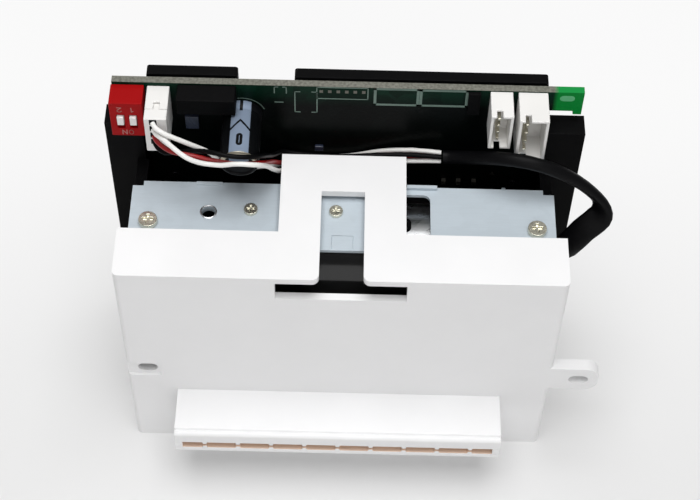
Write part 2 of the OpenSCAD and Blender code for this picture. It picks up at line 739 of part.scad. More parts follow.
// Stamped line round a tongue at the bracket's front edge
module tongue_line() {
    size = [4.4, 3.7];
    line_w = 0.12;
    line_d = 0.25;
    inner = [size[0] - 2 * line_w, size[1] - line_w];
    translate([-size[0] / 2, bracket_front_y, bracket_top - line_d]) linear_extrude(line_d + over)
        difference() {
            translate([0, -over]) square(size + [0, over]);
            translate([line_w, -2 * over]) square(inner + [0, 2 * over]);
        }
}

module motor_window() {
    r = 1.5;
    margin = 2;
    left = motor_window_x - motor_window_w;
    front = bracket_front_y + margin;
    rear = bracket_rear_y - margin;
    translate([left, front]) square([motor_window_w, rear - front - r]);
    translate([left + r, rear - 2 * r]) square([motor_window_w - 2 * r, 2 * r]);
    for (x = [left + r, motor_window_x - r]) translate([x, rear - r]) circle(r = r, $fn = 32);
}

// Glossy curved shield between the motor and the cover's T-shaped opening

shield_t = 1.2;
shield_r = motor_at[0] - chassis_front;
shield_low = 30;

module front_shield() {
    rear = bracket_front_y + roller_play;
    color("#0c0c0d") plate_x(-frame_in, motor_face_x) {
        intersection() {
            translate(motor_at) difference() {
                circle(r = shield_r, $fn = 96);
                circle(r = shield_r - shield_t, $fn = 96);
            }
            translate([chassis_front - over, motor_at[1] - bite])
                square([rear - chassis_front + over, frame_top - seat_gap - motor_at[1] + bite]);
        }
        translate([chassis_front, shield_low]) square([shield_t, motor_at[1] - shield_low]);
    }
}

// Note guides

module roller_openings(r, z_axis, z_face, z0, z1, rows) {
    reach = sqrt(r * r - pow(z_axis - z_face, 2)) + roller_play;
    half = roller_w / 2 + roller_play;
    both_sides() for (y = rows) box([roller_x - half, y - reach, z0], [roller_x + half, y + reach, z1]);
}

runner_x = [2.5, 14, 19];
runner_h = 0.4;
lamp_hole_r = sensor_r + 0.1;

module lower_guide() {
    low = lower_z - guide_t;
    rows = [front_shaft_at[0], rear_shaft_at[0]];
    color("#202022") difference() {
        union() {
            box([-guide_w / 2, chassis_front, low], [guide_w / 2, rear_reach, lower_z]);
            for (at = legs) rod_z(leg_r, base_t, low + bite, at);
            both_sides() for (x = runner_x)
                box([x - rib_w / 2, chassis_front, lower_z - bite],
                    [x + rib_w / 2, rear_reach, lower_z + runner_h]);
        }
        roller_openings(drive_r, drive_z, low, low - over, lower_z + over, rows);
        both_sides() rod_z(lamp_hole_r, low - over, lower_z + over, [sensor_x, shafts_mid_y]);
        for (at = legs) rod_z(case_screw[2] + press, base_t - over, low, at);
    }
}

module guide_rails() {
    color("#202022") both_sides()
        box([guide_w / 2 - rail_w, chassis_front, lower_z + press],
            [guide_w / 2, rear_reach, upper_z - press]);
}

spring_z = pinch_z + axle_d / 2 + 0.1;
spring_t = 0.3;
spring_x = 13.4;
spring_boss_r = 2.2;
guide_boss_r = 2.4;
board_post_r = 1.8;
board_post_front = shafts_mid_y - 4.2;
board_post_rear = rear_reach - 2.4;
board_posts = [
    [-7, board_post_front], [18, board_post_front], [-12.6, board_post_rear], [18, board_post_rear]
];
pinch_ear_reach = 2.4;
flap_ear_reach = 1.9;
axle_ear_rise = 1.8;

module axle_ear(x, at, reach) {
    box([x - pinch_ear_t / 2, at[0] - reach, upper_top - bite],
        [x + pinch_ear_t / 2, at[0] + reach, at[1] + axle_ear_rise]);
}

module upper_guide() {
    color("#202022") difference() {
        union() {
            box([-guide_w / 2, chassis_front, upper_z], [guide_w / 2, rear_reach, upper_top]);
            both_sides() {
                for (at = [front_pinch_at, rear_pinch_at], x = [ear_inner_x, ear_outer_x])
                    axle_ear(x, at, pinch_ear_reach);
                axle_ear(flap_ear_x, flap_at, flap_ear_reach);
            }
            for (at = guide_screw_at) rod_z(guide_boss_r, upper_top - bite, frame_top, at);
            for (at = board_posts) rod_z(board_post_r, upper_top - bite, sensor_board_z, at);
            both_sides() rod_z(spring_boss_r, upper_top - bite, spring_z, [spring_x, shafts_mid_y]);
        }
        roller_openings(pinch_r, pinch_z, upper_top, upper_z - over, upper_top + bite,
                        [front_pinch_at[0], rear_pinch_at[0]]);
        for (at = [front_pinch_at, rear_pinch_at]) {
            rod_x(axle_d / 2 + run, -frame_in, frame_in, at);
            both_sides() box([ear_inner_x - pinch_ear_t, at[0] - axle_d / 2 - run, at[1]],
                             [ear_outer_x + pinch_ear_t, at[0] + axle_d / 2 + run, at[1] + axle_d + over]);
        }
        rod_x(axle_d / 2 + run, -flap_ear_x - over, flap_ear_x + over, flap_at);
        both_sides() {
            box([flap_finger_x - flap_slot_half, flap_at[0] - flap_hub_r + seat_gap, upper_z - over],
                [flap_finger_x + flap_slot_half, rear_reach + over, upper_top + bite]);
            rod_z(lamp_hole_r, upper_z - over, upper_top + over, [sensor_x, shafts_mid_y]);
            rod_z(small_screw[2] + press, upper_top - over, spring_z + over, [spring_x, shafts_mid_y]);
        }
        for (at = guide_screw_at)
            rod_z(small_screw[2] + press, frame_top - guide_screw_len - over, frame_top + over, at);
    }
}

module pinch_springs() {
    half_w = 2.4;
    color("#c9c9c4") both_sides() difference() {
        box([spring_x - half_w, front_pinch_at[0] - axle_d, spring_z],
            [spring_x + half_w, rear_pinch_at[0] + axle_d, spring_z + spring_t]);
        rod_z(small_screw[2] + screw_play, spring_z - over, spring_z + over, [spring_x, shafts_mid_y]);
    }
}

// Motor, its bracket and its shaft

motor_screw_at = [for (s = [-1, 1]) motor_at + [s * motor_screw_pitch / 2, 0]];

module motor_bracket() {
    shelf_w = 7;
    low = motor_at[1] - motor_d / 2 - pass;
    front = chassis_front + shield_t;
    rear = motor_at[0] + motor_d / 2 + pass;
    outer = motor_face_x + motor_bracket_t;
    color("#aeb4ba") difference() {
        union() {
            box([motor_face_x, front, low], [outer, rear, frame_top]);
            box([motor_face_x - shelf_w, bracket_front_y + 2 * bracket_t, frame_top - motor_bracket_t],
                [motor_face_x + bite, bracket_rear_y - bracket_t - pass, frame_top]);
        }
        box([motor_face_x - over, bracket_rear_y - bracket_t - pass, frame_top - flange_h - pass],
            [outer + over, rear + over, frame_top + over]);
        rod_x(motor_boss_r + screw_play, motor_face_x - over, outer + over, motor_at);
        for (at = motor_screw_at) rod_x(small_screw[2] + screw_play, motor_face_x - over, outer + over, at);
    }
}

module motor_can() {
    vent_at = [motor_window_x - 5, motor_at[0] + 0.5];
    vent_size = [3.7, 2.4];
    vent_depth = 1.6;
    color("#c4c8cc") difference() {
        union() {
            rod_x(motor_d / 2, motor_left, motor_face_x, motor_at);
            rod_x(motor_boss_r, motor_face_x - bite, motor_face_x + motor_bracket_t, motor_at);
        }
        rod_x(motor_shaft_r + run, motor_face_x - motor_shaft_in - seat_gap,
              motor_face_x + over + motor_bracket_t, motor_at);
        for (at = motor_screw_at)
            rod_x(small_screw[2] + press, motor_face_x - motor_screw_len, motor_face_x + over, at);
        translate([vent_at[0], vent_at[1], motor_at[1] + motor_d / 2 - vent_depth])
            linear_extrude(vent_depth + over) rotate(90) oblong(vent_size[0], vent_size[1]);
    }
}

module motor_end_cap() {
    cap_left = motor_left - motor_cap_t;
    color("#26262a") union() {
        rod_x(motor_d / 2 - pass, cap_left, motor_left, motor_at);
        rod_x(motor_boss_r, motor_end_x, cap_left + bite, motor_at);
    }
}

module motor_shaft() {
    color("#d0d0d0")
        rod_x(motor_shaft_r, motor_face_x - motor_shaft_in, layer_a + gear_t + pass, motor_at);
}

// Gears on the right side

module gear_outline(teeth, angle) {
    pitch_r = gear_m * teeth / 2;
    radii = [for (step = tooth_steps) pitch_r + step * gear_m];
    steps = [0:len(radii) - 1];
    polygon([for (i = [0:teeth - 1]) let (mid = angle + 360 * i / teeth) each concat(
        [for (k = steps) polar(radii[k], mid - half_tooth(teeth, radii[k]))],
        [for (k = steps) let (r = radii[len(radii) - 1 - k]) polar(r, mid + half_tooth(teeth, r))])]);
}

module gear(teeth, angle, x0, at) {
    translate([x0, at[0], at[1]]) rotate([90, 0, 90]) linear_extrude(gear_t) gear_outline(teeth, angle);
}

idler_angle = 0;
large_angle = 0;
gear_boss_r = 2.5;

module motor_pinion() {
    angle = mesh_angle(large_angle, large_teeth, pinion_teeth, direction(compound_at, motor_at));
    color("#c8a860") difference() {
        gear(pinion_teeth, angle, layer_a, motor_at);
        rod_x(motor_shaft_r + press, layer_a - over, layer_a + gear_t + over, motor_at);
    }
}

module idler_gear() {
    color("#e6e2d6") difference() {
        union() {
            gear(idler_teeth, idler_angle, layer_b, idler_at);
            rod_x(gear_boss_r, layer_a, layer_b + bite, idler_at);
        }
        rod_x(post_r + run, layer_a - over, frame_in, idler_at);
    }
}

module compound_gear() {
    small_angle = mesh_angle(idler_angle, idler_teeth, small_teeth, direction(idler_at, compound_at));
    color("#e6e2d6") difference() {
        union() {
            gear(large_teeth, large_angle, layer_a, compound_at);
            gear(small_teeth, small_angle, layer_b, compound_at);
            rod_x(gear_boss_r, layer_a, layer_b + bite, compound_at);
        }
        rod_x(post_r + run, layer_a - over, frame_in, compound_at);
    }
}

module gear_posts() {
    head = [post_r + 0.9, 0.6];
    color("#d0d0d0") for (at = [idler_at, compound_at]) union() {
        rod_x(post_r, layer_a - bite, frame_out, at);
        rod_x(head[0], layer_a - bite - head[1], layer_a - bite, at);
    }
}

module shaft_gear(at) {
    angle = mesh_angle(idler_angle, idler_teeth, shaft_teeth, direction(idler_at, at));
    color("#e6e2d6") difference() {
        gear(shaft_teeth, angle, layer_b, at);
        rod_x(shaft_d / 2 + press, layer_b - over, frame_in, at);
    }
}

module front_gear() { shaft_gear(front_shaft_at); }
module rear_gear() { shaft_gear(rear_shaft_at); }

// Drive shafts with hubs and tyres, and the pinch axles with their rollers

tyre_t = 2.5;
hub_r = drive_r - tyre_t;

module ring_pair(outer, inner, at) {
    both_sides() difference() {
        rod_x(outer, roller_x - roller_w / 2, roller_x + roller_w / 2, at);
        rod_x(inner, roller_x - roller_w / 2 - over, roller_x + roller_w / 2 + over, at);
    }
}

module drive_shaft(at) { color("#d0d0d0") rod_x(shaft_d / 2, -frame_out, frame_out, at); }
module drive_hubs(at) { color("#e6e2d6") ring_pair(hub_r - press, shaft_d / 2 + press, at); }
module drive_tyres(at) { color("#2a2a2a") ring_pair(drive_r, hub_r, at); }
module pinch_axle(at) {
    color("#d0d0d0") rod_x(axle_d / 2, -ear_outer_x - pinch_ear_t / 2, ear_outer_x + pinch_ear_t / 2, at);
}
module pinch_rollers(at) { color("#efefef") ring_pair(pinch_r, axle_d / 2 + press, at); }

module front_shaft() { drive_shaft(front_shaft_at); }
module front_hubs() { drive_hubs(front_shaft_at); }
module front_tyres() { drive_tyres(front_shaft_at); }
module rear_shaft() { drive_shaft(rear_shaft_at); }
module rear_hubs() { drive_hubs(rear_shaft_at); }
module rear_tyres() { drive_tyres(rear_shaft_at); }
module front_pinch_axle() { pinch_axle(front_pinch_at); }
module front_pinch_rollers() { pinch_rollers(front_pinch_at); }
module rear_pinch_axle() { pinch_axle(rear_pinch_at); }
module rear_pinch_rollers() { pinch_rollers(rear_pinch_at); }

module shaft_bushes() {
    color("#b08d57") both_sides() for (at = [front_shaft_at, rear_shaft_at]) difference() {
        rod_x(bush_r, frame_in, frame_out, at);
        rod_x(shaft_d / 2 + run, frame_in - over, frame_out + over, at);
    }
}

encoder_in = 2.2;
encoder_x = -frame_in + encoder_in;
encoder_t = 0.8;
encoder_r = 7;
slit_count = 12;
slit_r = 4.6;
slit_size = [0.8, 1.6];

module encoder_disc() {
    color("#303034") difference() {
        rod_x(encoder_r, encoder_x, encoder_x + encoder_t, front_shaft_at);
        rod_x(shaft_d / 2 + press, encoder_x - over, encoder_x + encoder_t + over, front_shaft_at);
        for (i = [0:slit_count - 1]) translate([encoder_x - over, front_shaft_at[0], front_shaft_at[1]])
            rotate([360 * i / slit_count, 0, 0]) translate([0, -slit_size[0] / 2, slit_r])
                cube([encoder_t + 2 * over, slit_size[0], slit_size[1]]);
    }
}

module encoder_sensor() {
    half_d = 3;
    fork_h = 6.6;
    fork_wall = 1.1;
    low = drive_z + slit_r - seat_gap;
    left = encoder_x - roller_play;
    right = encoder_x + encoder_t + roller_play;
    y = front_shaft_at[0];
    color("#151517") difference() {
        box([-frame_in, y - half_d, low], [right + fork_wall, y + half_d, low + fork_h]);
        box([left, y - half_d - over, low - over],
            [right, y + half_d + over, drive_z + encoder_r + roller_play]);
    }
}

// Exit flap that keeps a taken note from being pulled back

module exit_flap() {
    root = 0.9;
    lean = 1;
    tip_w = 1;
    tip_z = note_z - 0.6 - flap_at[1];
    left = flap_finger_x - flap_finger_w / 2;
    color("#e6e2d6") union() {
        rod_x(axle_d / 2, -flap_ear_x - pinch_ear_t / 2, flap_ear_x + pinch_ear_t / 2, flap_at);
        both_sides() translate([0, flap_at[0], flap_at[1]]) {
            rod_x(flap_hub_r, left, left + flap_finger_w, [0, 0]);
            plate_x(left, left + flap_finger_w)
                polygon([[-root, 0], [root, 0], [lean + tip_w, tip_z + seat_gap], [lean, tip_z]]);
        }
    }
}

// Sensor boards, lamps and light pipes on the note path

module sensor_boards() {
    upper_sensor_board();
    lower_sensor_board();
}

module upper_sensor_board() {
    high = sensor_board_z + sensor_board_t;
    left = board_posts[2][0] - 2;
    front = board_post_front - 2;
    rear = rear_reach - pass;
    color("#1f5a34") difference() {
        union() {
            box([left, front, sensor_board_z], [guide_w / 2 - 1, rear, high]);
            box([guide_w / 2 - 1 - bite, link_at[1] - seat_gap, sensor_board_z],
                [frame_in - seat_gap, rear, high]);
        }
        rod_z(guide_boss_r + pass, sensor_board_z - over, high + over, guide_screw_at[1]);
    }
}

module lower_sensor_board() {
    color("#1f5a34") box([-leg_x + leg_r + pass, chassis_front + 2, pipe_floor],
                         [leg_x - leg_r - pass, rear_reach - 2, pipe_floor + sensor_board_t]);
}

module sensor_lamps() {
    color("#e8eef4") both_sides() {
        rod_z(sensor_r, upper_z + seat_gap, sensor_board_z, [sensor_x, shafts_mid_y]);
        rod_z(sensor_r, pipe_floor + sensor_board_t, lower_z - seat_gap, [sensor_x, shafts_mid_y]);
    }
}

link_low = sensor_board_z + sensor_board_t;
link_mid = link_low + link_size[2];

module link_block(low, high) {
    color("#f1efe6") box([link_at[0], link_at[1], low],
                         [link_at[0] + link_size[0], link_at[1] + link_size[1], high]);
}

module sensor_header() { link_block(link_low, link_mid); }
module sensor_plug() { link_block(link_mid, sleeve_route[len(sleeve_route) - 1][2]); }

// Main board and what is soldered to it

module main_board() {
    ear_left = dip_left + seat_gap;
    ear_right = board_half + board_ear_out;
    ear_low = board_top - board_ear_h;
    foot_left = ear_right - board_foot_w;
    foot_low = post_top + board_foot_lift;
    seat = post_top + seat_gap;
    color("#0f3d24") difference() {
        plate_y(board_y, board_y + board_t) polygon([
            [-board_half, board_low], [board_half, board_low], [board_half, ear_low], [foot_left, ear_low],
            [foot_left, foot_low], [ear_right, foot_low], [ear_right, board_top], [ear_left, board_top],
            [ear_left, seat], [-board_half, seat]]);
        for (at = board_screw_at)
            rod_y(small_screw[2] + screw_play, board_y - over, board_y + board_t + over, at);
    }
}

lever_x = [for (s = [-1, 1]) dip_left + dip_size[0] / 2 + s * lever_pitch / 2];
lever_mid_z = dip_top - dip_size[2] / 2 - lever_travel / 2;
lever_slot = [lever_size[0] + seat_gap, lever_size[1] + lever_travel + 2 * seat_gap];
lever_depth = 1.6;
lever_out = 0.5;
dip_face = board_y - dip_size[1];

module dip_switch() {
    color("#c0201c") difference() {
        box([dip_left, dip_face, dip_top - dip_size[2]], [dip_left + dip_size[0], board_y, dip_top]);
        for (x = lever_x)
            box([x - lever_slot[0] / 2, dip_face - over, lever_mid_z - lever_slot[1] / 2],
                [x + lever_slot[0] / 2, dip_face + lever_depth, lever_mid_z + lever_slot[1] / 2]);
    }
}

module dip_lever(x) {
    top = lever_mid_z + lever_slot[1] / 2 - seat_gap;
    color("#f4f2ee") box([x - lever_size[0] / 2, dip_face - lever_out, top - lever_size[1]],
                         [x + lever_size[0] / 2, dip_face + lever_depth - run, top]);
}

module dip_lever_1() { dip_lever(lever_x[0]); }
module dip_lever_2() { dip_lever(lever_x[1]); }

module header_shell(left, size, top, aside) {
    color("#f1efe6") difference() {
        box([left, board_y - size[1], top - size[2]], [left + size[0], board_y, top]);
        box([left + header_wall, board_y - size[1] - over, top - size[2] + header_wall],
            [left + size[0] - header_wall, board_y - header_floor, top - header_wall]);
        translate([left + (size[0] - header_notch[0]) / 2 + aside, board_y - size[1] - over,
                   top - size[2] - over])
            cube([header_notch[0], header_notch[1] + over, size[2] + 2 * over]);
    }
}

module lead_header() { header_shell(plug_left, plug_size, plug_top, 0); }
module small_header() { header_shell(small_header_left, small_header_size, header_top, small_pin_aside); }
module large_header() { header_shell(large_header_left, large_header_size, header_top, large_pin_aside); }

module lead_plug() {
    gap = header_wall + run;
    face = board_y - plug_size[1] - plug_reach;
    color("#f6f4ee") union() {
        box([plug_left + gap, face, plug_top - plug_size[2] + gap],
            [plug_left + plug_size[0] - gap, board_y - header_floor - run, plug_top - gap]);
        box([plug_left, face, plug_top - plug_size[2]],
            [plug_left + plug_size[0], board_y - plug_size[1] - run, plug_top]);
    }
}

module pin_row(left, size, top, pitch, aside) {
    for (i = [0:header_pin_count - 1]) {
        x = left + size[0] / 2 + aside;
        z = top - size[2] / 2 + (i - (header_pin_count - 1) / 2) * pitch;
        box([x - pin_w / 2, board_y - size[1] + pin_set_back, z - pin_w / 2],
            [x + pin_w / 2, board_y - header_floor, z + pin_w / 2]);
    }
}

module header_pins() {
    color("#d9d4c0") {
        pin_row(small_header_left, small_header_size, header_top, small_pin_pitch, small_pin_aside);
        pin_row(large_header_left, large_header_size, header_top, large_pin_pitch, large_pin_aside);
    }
}

module capacitor() {
    r = cap_d / 2;
    neck = [1.8, 0.4, 0.35];
    rim = 0.5;
    color("#20262e") translate([cap_at[0], board_y, cap_at[1]]) rotate([90, 0, 0])
        rotate_extrude($fn = 64) polygon([
            [0, 0], [r, 0], [r, neck[0] - neck[1]], [r - neck[2], neck[0]], [r, neck[0] + neck[1]],
            [r, cap_len - rim], [r - rim, cap_len], [0, cap_len]]);
}

module relay() {
    color("#1a1a1c") box([relay_left, board_y - relay_size[1], relay_low],
                         [relay_left + relay_size[0], board_y, relay_low + relay_size[2]]);
}

module board_chips() {
    color("#18181a") for (i = [0:len(chip_sizes) - 1])
        translate([chip_places[i][0], board_y - chip_sizes[i][1], board_low + chip_places[i][1]])
            cube(chip_sizes[i]);
}

// Screws

module screw_z_down(size, length, at, z) {
    union() {
        rod_z(size[0], z, z + size[1], at);
        rod_z(size[2], z - length, z + bite, at);
    }
}

// Cross recess as [length, width, depth], cut into a head whose top is at z
module cross_recess(size, at, z) {
    for (turn = [0, 90]) translate([at[0], at[1], z]) rotate(turn)
        cube([size[0], size[1], 2 * size[2]], center = true);
}

module bracket_screws() {
    color("#c9ccd0") both_sides() difference() {
        screw_z_down(large_screw, large_screw_len, large_screw_at, bracket_top);
        cross_recess(large_recess, large_screw_at, bracket_top + large_screw[1]);
    }
}

module small_screws() {
    motor_outer = motor_face_x + motor_bracket_t;
    color("#b9bcc0") {
        for (at = guide_screw_at) difference() {
            screw_z_down(small_screw, guide_screw_len, at, bracket_top);
            cross_recess(small_recess, at, bracket_top + small_screw[1]);
        }
        both_sides()
            screw_z_down(small_screw, spring_screw_len, [spring_x, shafts_mid_y], spring_z + spring_t);
        for (at = board_screw_at) union() {
            rod_y(small_screw[0], board_y - small_screw[1], board_y, at);
            rod_y(small_screw[2], board_y - bite, panel_back + back_wall_t - pass, at);
        }
        for (at = motor_screw_at) union() {
            rod_x(small_screw[0], motor_outer, motor_outer + small_screw[1], at);
            rod_x(small_screw[2], motor_outer - motor_screw_len, motor_outer + bite, at);
        }
    }
}

module case_screws() {
    color("#8d9095") {
        for (x = [-frame_in, frame_in], z = case_screw_z) union() {
            rod_y(case_screw[0], panel_back, panel_back + case_screw[1], [x, z]);
            rod_y(case_screw[2], rear_reach - case_grip, panel_back + bite, [x, z]);
        }
        for (at = legs) union() {
            rod_z(case_screw[0], run, case_screw[1], at);
            rod_z(case_screw[2], case_screw[1] - bite, base_t + leg_grip, at);
        }
    }
}

// Wires and sleeve of the sensor lead

module wire(route) {
    half = [wire_d / 2, wire_d / 2];
    tube([for (k = [0:len(route) - 1]) ring(route, k, [0, 0.3, 1], half, 8)]);
}

module white_wires() {
    color("#f2f0ea") {
        wire(upper_white_route);
        wire(lower_white_route);
    }
}

module red_wire() { color("#b01a18") wire(red_route); }
module black_wire() { color("#161616") wire(black_route); }

module lead_sleeve() {
    color("#111112") tube([for (k = [0:len(sleeve_route) - 1])
        ring(sleeve_route, k, sleeve_lean[k], sleeve_half(k), 10)]);
}

front_cover();
mouth();
left_side_frame();
right_side_frame();
bottom_cover();
rear_panel();
top_bracket();
front_shield();
lower_guide();
guide_rails();
upper_guide();
motor_bracket();
bracket_screws();
small_screws();
case_screws();
main_board();
dip_switch();
dip_lever_1();
dip_lever_2();
lead_header();
lead_plug();
small_header();
large_header();
header_pins();
capacitor();
relay();
board_chips();
motor_can();
motor_end_cap();
motor_shaft();
motor_pinion();
shaft_bushes();
gear_posts();
idler_gear();
compound_gear();
front_shaft();
front_hubs();
front_tyres();
front_gear();
encoder_disc();
encoder_sensor();
rear_shaft();
rear_hubs();
rear_tyres();
rear_gear();
front_pinch_axle();
front_pinch_rollers();
rear_pinch_axle();
rear_pinch_rollers();
pinch_springs();
exit_flap();
sensor_boards();
sensor_lamps();
sensor_header();
sensor_plug();
white_wires();
red_wire();
black_wire();
lead_sleeve();
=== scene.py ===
# %% [markdown]
# # A bill validator, dressed in Blender
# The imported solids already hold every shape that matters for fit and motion. This lesson dresses them:
# cords first, then light, then finishes, then the small parts that make the machine look real.
# Sizes are written in millimetres, because that is how the part is drawn, and become metres in one place.

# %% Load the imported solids
import json
import math

import bmesh
import bpy
from mathutils import Matrix, Vector

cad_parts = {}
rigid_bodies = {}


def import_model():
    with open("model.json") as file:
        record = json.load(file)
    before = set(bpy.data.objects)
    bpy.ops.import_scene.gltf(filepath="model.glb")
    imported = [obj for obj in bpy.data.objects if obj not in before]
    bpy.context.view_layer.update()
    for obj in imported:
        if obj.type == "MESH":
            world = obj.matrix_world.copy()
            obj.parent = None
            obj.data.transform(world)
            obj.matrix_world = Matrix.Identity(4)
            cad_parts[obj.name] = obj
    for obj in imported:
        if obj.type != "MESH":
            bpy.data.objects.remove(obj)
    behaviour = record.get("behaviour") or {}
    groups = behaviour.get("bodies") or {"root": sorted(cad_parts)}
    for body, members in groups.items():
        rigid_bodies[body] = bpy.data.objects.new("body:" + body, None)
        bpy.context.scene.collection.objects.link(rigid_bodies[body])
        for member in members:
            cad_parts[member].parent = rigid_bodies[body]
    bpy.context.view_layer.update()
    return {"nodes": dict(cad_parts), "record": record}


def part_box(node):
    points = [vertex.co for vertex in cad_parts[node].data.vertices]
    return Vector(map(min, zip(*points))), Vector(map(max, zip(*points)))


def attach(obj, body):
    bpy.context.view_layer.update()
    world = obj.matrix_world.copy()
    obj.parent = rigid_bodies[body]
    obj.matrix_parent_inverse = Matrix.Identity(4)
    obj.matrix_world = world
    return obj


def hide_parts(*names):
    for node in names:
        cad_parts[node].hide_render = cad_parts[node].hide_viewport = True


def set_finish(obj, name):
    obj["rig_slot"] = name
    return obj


for leftover in list(bpy.data.objects):
    bpy.data.objects.remove(leftover)
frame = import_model()
nodes = frame["nodes"]

# %% [markdown]
# ## Camera
# A photograph can be matched by moving a camera by eye, or by solving for it. Here the corners of the
# cover and of the bracket were matched to their pixels, which gave the focal length in pixels, the place
# and three angles. The lens follows from the focal length and the picture's width.

# %% Camera
PICTURE_WIDTH_PX = 700
FOCAL_PX = 1719.5
CAMERA_PLACE = (0.000602, -0.210443, 0.339489)
PITCH, YAW, ROLL = (math.radians(angle) for angle in (54.482, 0.289, -1.623))

lens = bpy.data.cameras.new("photo_view")
lens.lens = lens.sensor_width * FOCAL_PX / PICTURE_WIDTH_PX
lens.clip_start = 0.01
camera = bpy.data.objects.new("photo_view", lens)
bpy.context.scene.collection.objects.link(camera)
camera.matrix_world = (Matrix.Translation(CAMERA_PLACE)
                       @ Matrix.Rotation(-YAW, 4, "Z")
                       @ Matrix.Rotation(math.pi / 2 - PITCH, 4, "X")
                       @ Matrix.Rotation(-ROLL, 4, "Z"))
bpy.context.scene.camera = camera
print("lens of", round(lens.lens, 2), "mm")

# %% [markdown]
# ## Making a mesh piece
# Every added piece starts as a list of points and faces. Two helpers cover most of them: one turns
# points into an object that rides on the chassis, the other joins a row of rings into a skin. A ring skin
# makes tubes, turned parts and plates alike, so few tools are needed.

# %% Helpers for mesh pieces
MM = 0.001


def new_piece(name, points, faces, slot):
    """An object made from points in millimetres, riding on the chassis."""
    mesh = bpy.data.meshes.new(name)
    mesh.from_pydata([Vector(point) * MM for point in points], [], faces)
    solid = bmesh.new()
    solid.from_mesh(mesh)
    bmesh.ops.recalc_face_normals(solid, faces=solid.faces)
    solid.to_mesh(mesh)
    solid.free()
    piece = bpy.data.objects.new(name, mesh)
    bpy.context.scene.collection.objects.link(piece)
    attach(piece, "chassis")
    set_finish(piece, slot)
    return piece


def ring_skin(rings, capped=True):
    """Points and faces of a closed skin over rings that all have the same number of points."""
    sides = len(rings[0])
    points = [point for ring in rings for point in ring]
    faces = []
    for k in range(len(rings) - 1):
        for i in range(sides):
            a, b = k * sides + i, k * sides + (i + 1) % sides
            faces.append((a, b, b + sides, a + sides))
    if capped:
        faces.append(tuple(range(sides)))
        faces.append(tuple(range((len(rings) - 1) * sides, len(rings) * sides)))
    return points, faces


def shade_smooth(piece, angle):
    """Smooth shading, with edges sharper than the angle left crisp."""
    solid = bmesh.new()
    solid.from_mesh(piece.data)
    for face in solid.faces:
        face.smooth = True
    for edge in solid.edges:
        edge.smooth = edge.calc_face_angle(math.pi) < math.radians(angle)
    solid.to_mesh(piece.data)
    solid.free()
    return piece


# %% [markdown]
# ## Cords
# Four thin wires leave a plug on the board, bow down in front of it and slip into a black shrink sleeve.
# The sleeve is round where it grips the wires and flattens into a band that loops down into the body.
# A curve object with a bevel would do for round wires, but not for a band that twists, so both are
# skins over rings that follow the same route points as the solids.

# %% Smooth routes and swept skins
def smooth_route(points, steps):
    """A smooth line through the points, with the given number of steps from each to the next."""
    line = []
    for k in range(len(points) - 1):
        before, a, b, after = (points[min(max(j, 0), len(points) - 1)] for j in range(k - 1, k + 3))
        for step in range(steps):
            t = step / steps
            line.append(0.5 * (2 * a + (b - before) * t + (2 * before - 5 * a + 4 * b - after) * t ** 2
                               + (3 * a - before - 3 * b + after) * t ** 3))
    return line + [points[-1]]


def swept_rings(line, leans, halves, sides, squareness=2.0):
    """Rings across a line: each has half a width along its lean and half a thickness across it."""
    rings = []
    for k, place in enumerate(line):
        along = (line[min(k + 1, len(line) - 1)] - line[max(k - 1, 0)]).normalized()
        wide = (leans[k] - along * leans[k].dot(along)).normalized()
        thin = along.cross(wide)
        ring = []
        for i in range(sides):
            c, s = math.cos(math.tau * i / sides), math.sin(math.tau * i / sides)
            u = math.copysign(abs(c) ** (2 / squareness), c) * halves[k][0]
            v = math.copysign(abs(s) ** (2 / squareness), s) * halves[k][1]
            ring.append(place + wide * u + thin * v)
        rings.append(ring)
    return rings


CORD_STEPS = 2
CORD_CREASE = 60


def lay_cord(piece, stood_for):
    """Puts a cord's skin in place of its solid: shades the skin smooth and hides the solid."""
    shade_smooth(piece, CORD_CREASE)
    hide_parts(stood_for)
    return piece


# %% The four wires
WIRE_WIDTH, WIRE_SIDES = 1.0, 16
# A round wire has no wide side, so one lean serves all of its rings
WIRE_LEAN = Vector((0, 0.3, 1))
